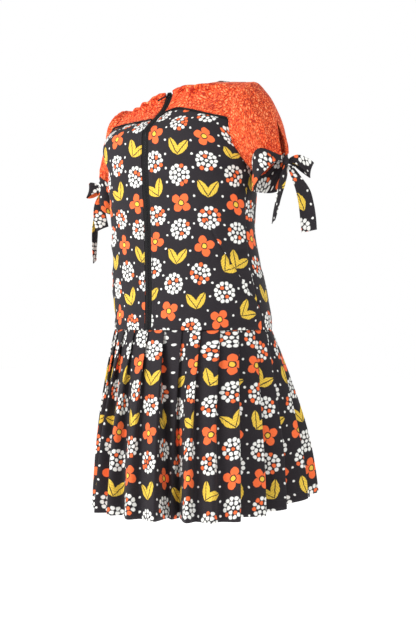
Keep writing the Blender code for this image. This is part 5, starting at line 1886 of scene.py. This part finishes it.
class DRESS_OT_skirt(Operator):
    """Build the pleated skirt, front and back, and the stitching of its hem"""

    bl_idname = "dress.skirt"
    bl_label = "Pleated skirt"

    def execute(self, context):
        sizes = context.scene.dress_sizes
        per_pleat = len(PLEAT_AT_SEAM)
        side_seam = SKIRT_START + (FRONT_LAST_PLEAT - FRONT_FIRST_PLEAT + 1) * per_pleat
        halves = (("skirt_front", SKIRT_START, side_seam, 0.0),
                  ("skirt_back", side_seam, SKIRT_START + PLEATS * per_pleat, SKIRT_BACK_PRINT))
        stitches = []
        for name, first, last, print_start in halves:
            sheet = skirt_sheet(first, last, sizes.points_per_fold, sizes.skirt_rows)
            metres = cloth_metres(sheet)
            print_row = metres[int(sizes.skirt_rows * SKIRT_PRINT_ROW), :, 0][None, :]
            uv = np.stack((np.repeat(print_row, len(sheet), axis=0) + print_start,
                           SKIRT_PRINT_DROP - metres[..., 1]), axis=-1)
            from_hem = metres[-1:, :, 1] - metres[..., 1]
            lift = seam_dip(metres, ("low",), SKIRT_DIP) + bump(from_hem, SKIRT_HEM, *SKIRT_HEM_CREASE)
            surface = raised(sheet, lift, -1)
            piece = cloth_object(f"cloth_{name}", surface, uv, -1, dark_cotton(), sizes.cloth_thickness)
            stitches.append(sewn_row(surface, -1, -HEM_STITCH_ROWS_UP, sizes))
            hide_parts(name)
        sewn = stitch_object("thread_hem", stitches, thread("charcoal thread", CHARCOAL), sizes)
        return {"FINISHED"}


class DRESS_OT_stage(Operator):
    """Set the floor, the soft lights, the pale surround and the camera"""

    bl_idname = "dress.stage"
    bl_label = "Stage"

    def execute(self, context):
        stage = context.scene.dress_stage
        self.floor(stage)
        self.light("key light", *KEY_LIGHT, stage.key_power)
        self.light("fill light", *FILL_LIGHT, stage.fill_power)
        self.light("back light", *BACK_LIGHT, stage.fill_power)
        self.surround(stage)
        self.camera(stage)
        context.scene.view_settings.view_transform = "Standard"
        return {"FINISHED"}

    def surround(self, stage):
        """A pale world that looks white to the camera and lights the dress less."""
        world = bpy.data.worlds.new("pale surround")
        world.use_nodes = True
        w = Wiring(world.node_tree)
        seen = w.out(w.node("ShaderNodeLightPath"), "Is Camera Ray")
        background = world.node_tree.nodes["Background"]
        background.inputs["Color"].default_value = opaque(WHITE)
        w.feed(background.inputs["Strength"], w.math("MAXIMUM", seen, stage.sky))
        bpy.context.scene.world = world

    def camera(self, stage):
        data = bpy.data.cameras.new("camera")
        data.lens = stage.lens
        data.sensor_fit = "VERTICAL"
        data.sensor_height = FILM_HEIGHT
        data.shift_x = FILM_SHIFT
        camera = bpy.data.objects.new("camera", data)
        camera.location = (
            math.sin(stage.azimuth) * stage.distance,
            -math.cos(stage.azimuth) * stage.distance,
            stage.eye_height,
        )
        camera.rotation_euler = (math.pi / 2, 0.0, stage.azimuth)
        bpy.context.scene.collection.objects.link(camera)
        bpy.context.scene.camera = camera

    def floor(self, stage):
        spots = np.linspace(-FLOOR_HALF_SIZE, FLOOR_HALF_SIZE, FLOOR_SQUARES + 1)
        vertices = [(x, y, stage.floor_height) for y in spots for x in spots]
        row = FLOOR_SQUARES + 1
        faces = [(a + b * row, a + 1 + b * row, a + 1 + (b + 1) * row, a + (b + 1) * row)
                 for b in range(FLOOR_SQUARES) for a in range(FLOOR_SQUARES)]
        mesh = bpy.data.meshes.new("floor")
        mesh.from_pydata(vertices, [], faces)
        floor = bpy.data.objects.new("floor", mesh)
        bpy.context.scene.collection.objects.link(floor)
        material, w, shader = start_material("pale floor", FLOOR_ROUGHNESS)
        low, high = FLOOR_TONES
        cloudy = w.noise(object_map(w), 3.0, 3.0)
        w.feed(shader.inputs["Base Color"], w.mix(cloudy, opaque(low), opaque(high)))
        shader.inputs["Emission Color"].default_value = opaque(WHITE)
        shader.inputs["Emission Strength"].default_value = FLOOR_GLOW
        with_material(floor, material)

    def light(self, name, place, size, power):
        data = bpy.data.lights.new(name, "AREA")
        data.shape = "DISK"
        data.size = size
        data.energy = power
        lamp = bpy.data.objects.new(name, data)
        lamp.location = place
        aim = np.array(LIGHT_AIM) - np.array(place)
        lamp.rotation_euler = (math.acos(-aim[2] / float(np.linalg.norm(aim))), 0.0,
                               math.atan2(aim[1], aim[0]) - math.pi / 2)
        bpy.context.scene.collection.objects.link(lamp)


class DRESS_PT_panel(Panel):
    """Lists the dress's pieces and settings"""

    bl_label = "Printed dress"
    bl_idname = "DRESS_PT_panel"
    bl_space_type = "VIEW_3D"
    bl_region_type = "UI"
    bl_category = "Dress"

    def draw(self, context):
        layout = self.layout
        for operator in BUILDERS:
            layout.operator(operator.bl_idname)
        for label, settings in SETTINGS.items():
            box = layout.box()
            for name in settings.__annotations__:
                box.prop(getattr(context.scene, label), name)


SETTINGS = {"dress_sizes": DressSizes, "dress_look": DressLook, "dress_stage": DressStage}
BUILDERS = (DRESS_OT_bodice, DRESS_OT_yokes, DRESS_OT_zip, DRESS_OT_sleeves, DRESS_OT_ties, DRESS_OT_skirt,
            DRESS_OT_stage)
CLASSES = (*SETTINGS.values(), *BUILDERS, DRESS_PT_panel)


def register():
    for kind in CLASSES:
        bpy.utils.register_class(kind)
    for label, settings in SETTINGS.items():
        setattr(bpy.types.Scene, label, PointerProperty(type=settings))


def unregister():
    for label in SETTINGS:
        delattr(bpy.types.Scene, label)
    for kind in reversed(CLASSES):
        bpy.utils.unregister_class(kind)


def main():
    register()
    bpy.ops.dress.bodice()
    bpy.ops.dress.yokes()
    bpy.ops.dress.zip()
    bpy.ops.dress.sleeves()
    bpy.ops.dress.ties()
    bpy.ops.dress.skirt()
    bpy.ops.dress.stage()


if __name__ == "__main__":
    main()
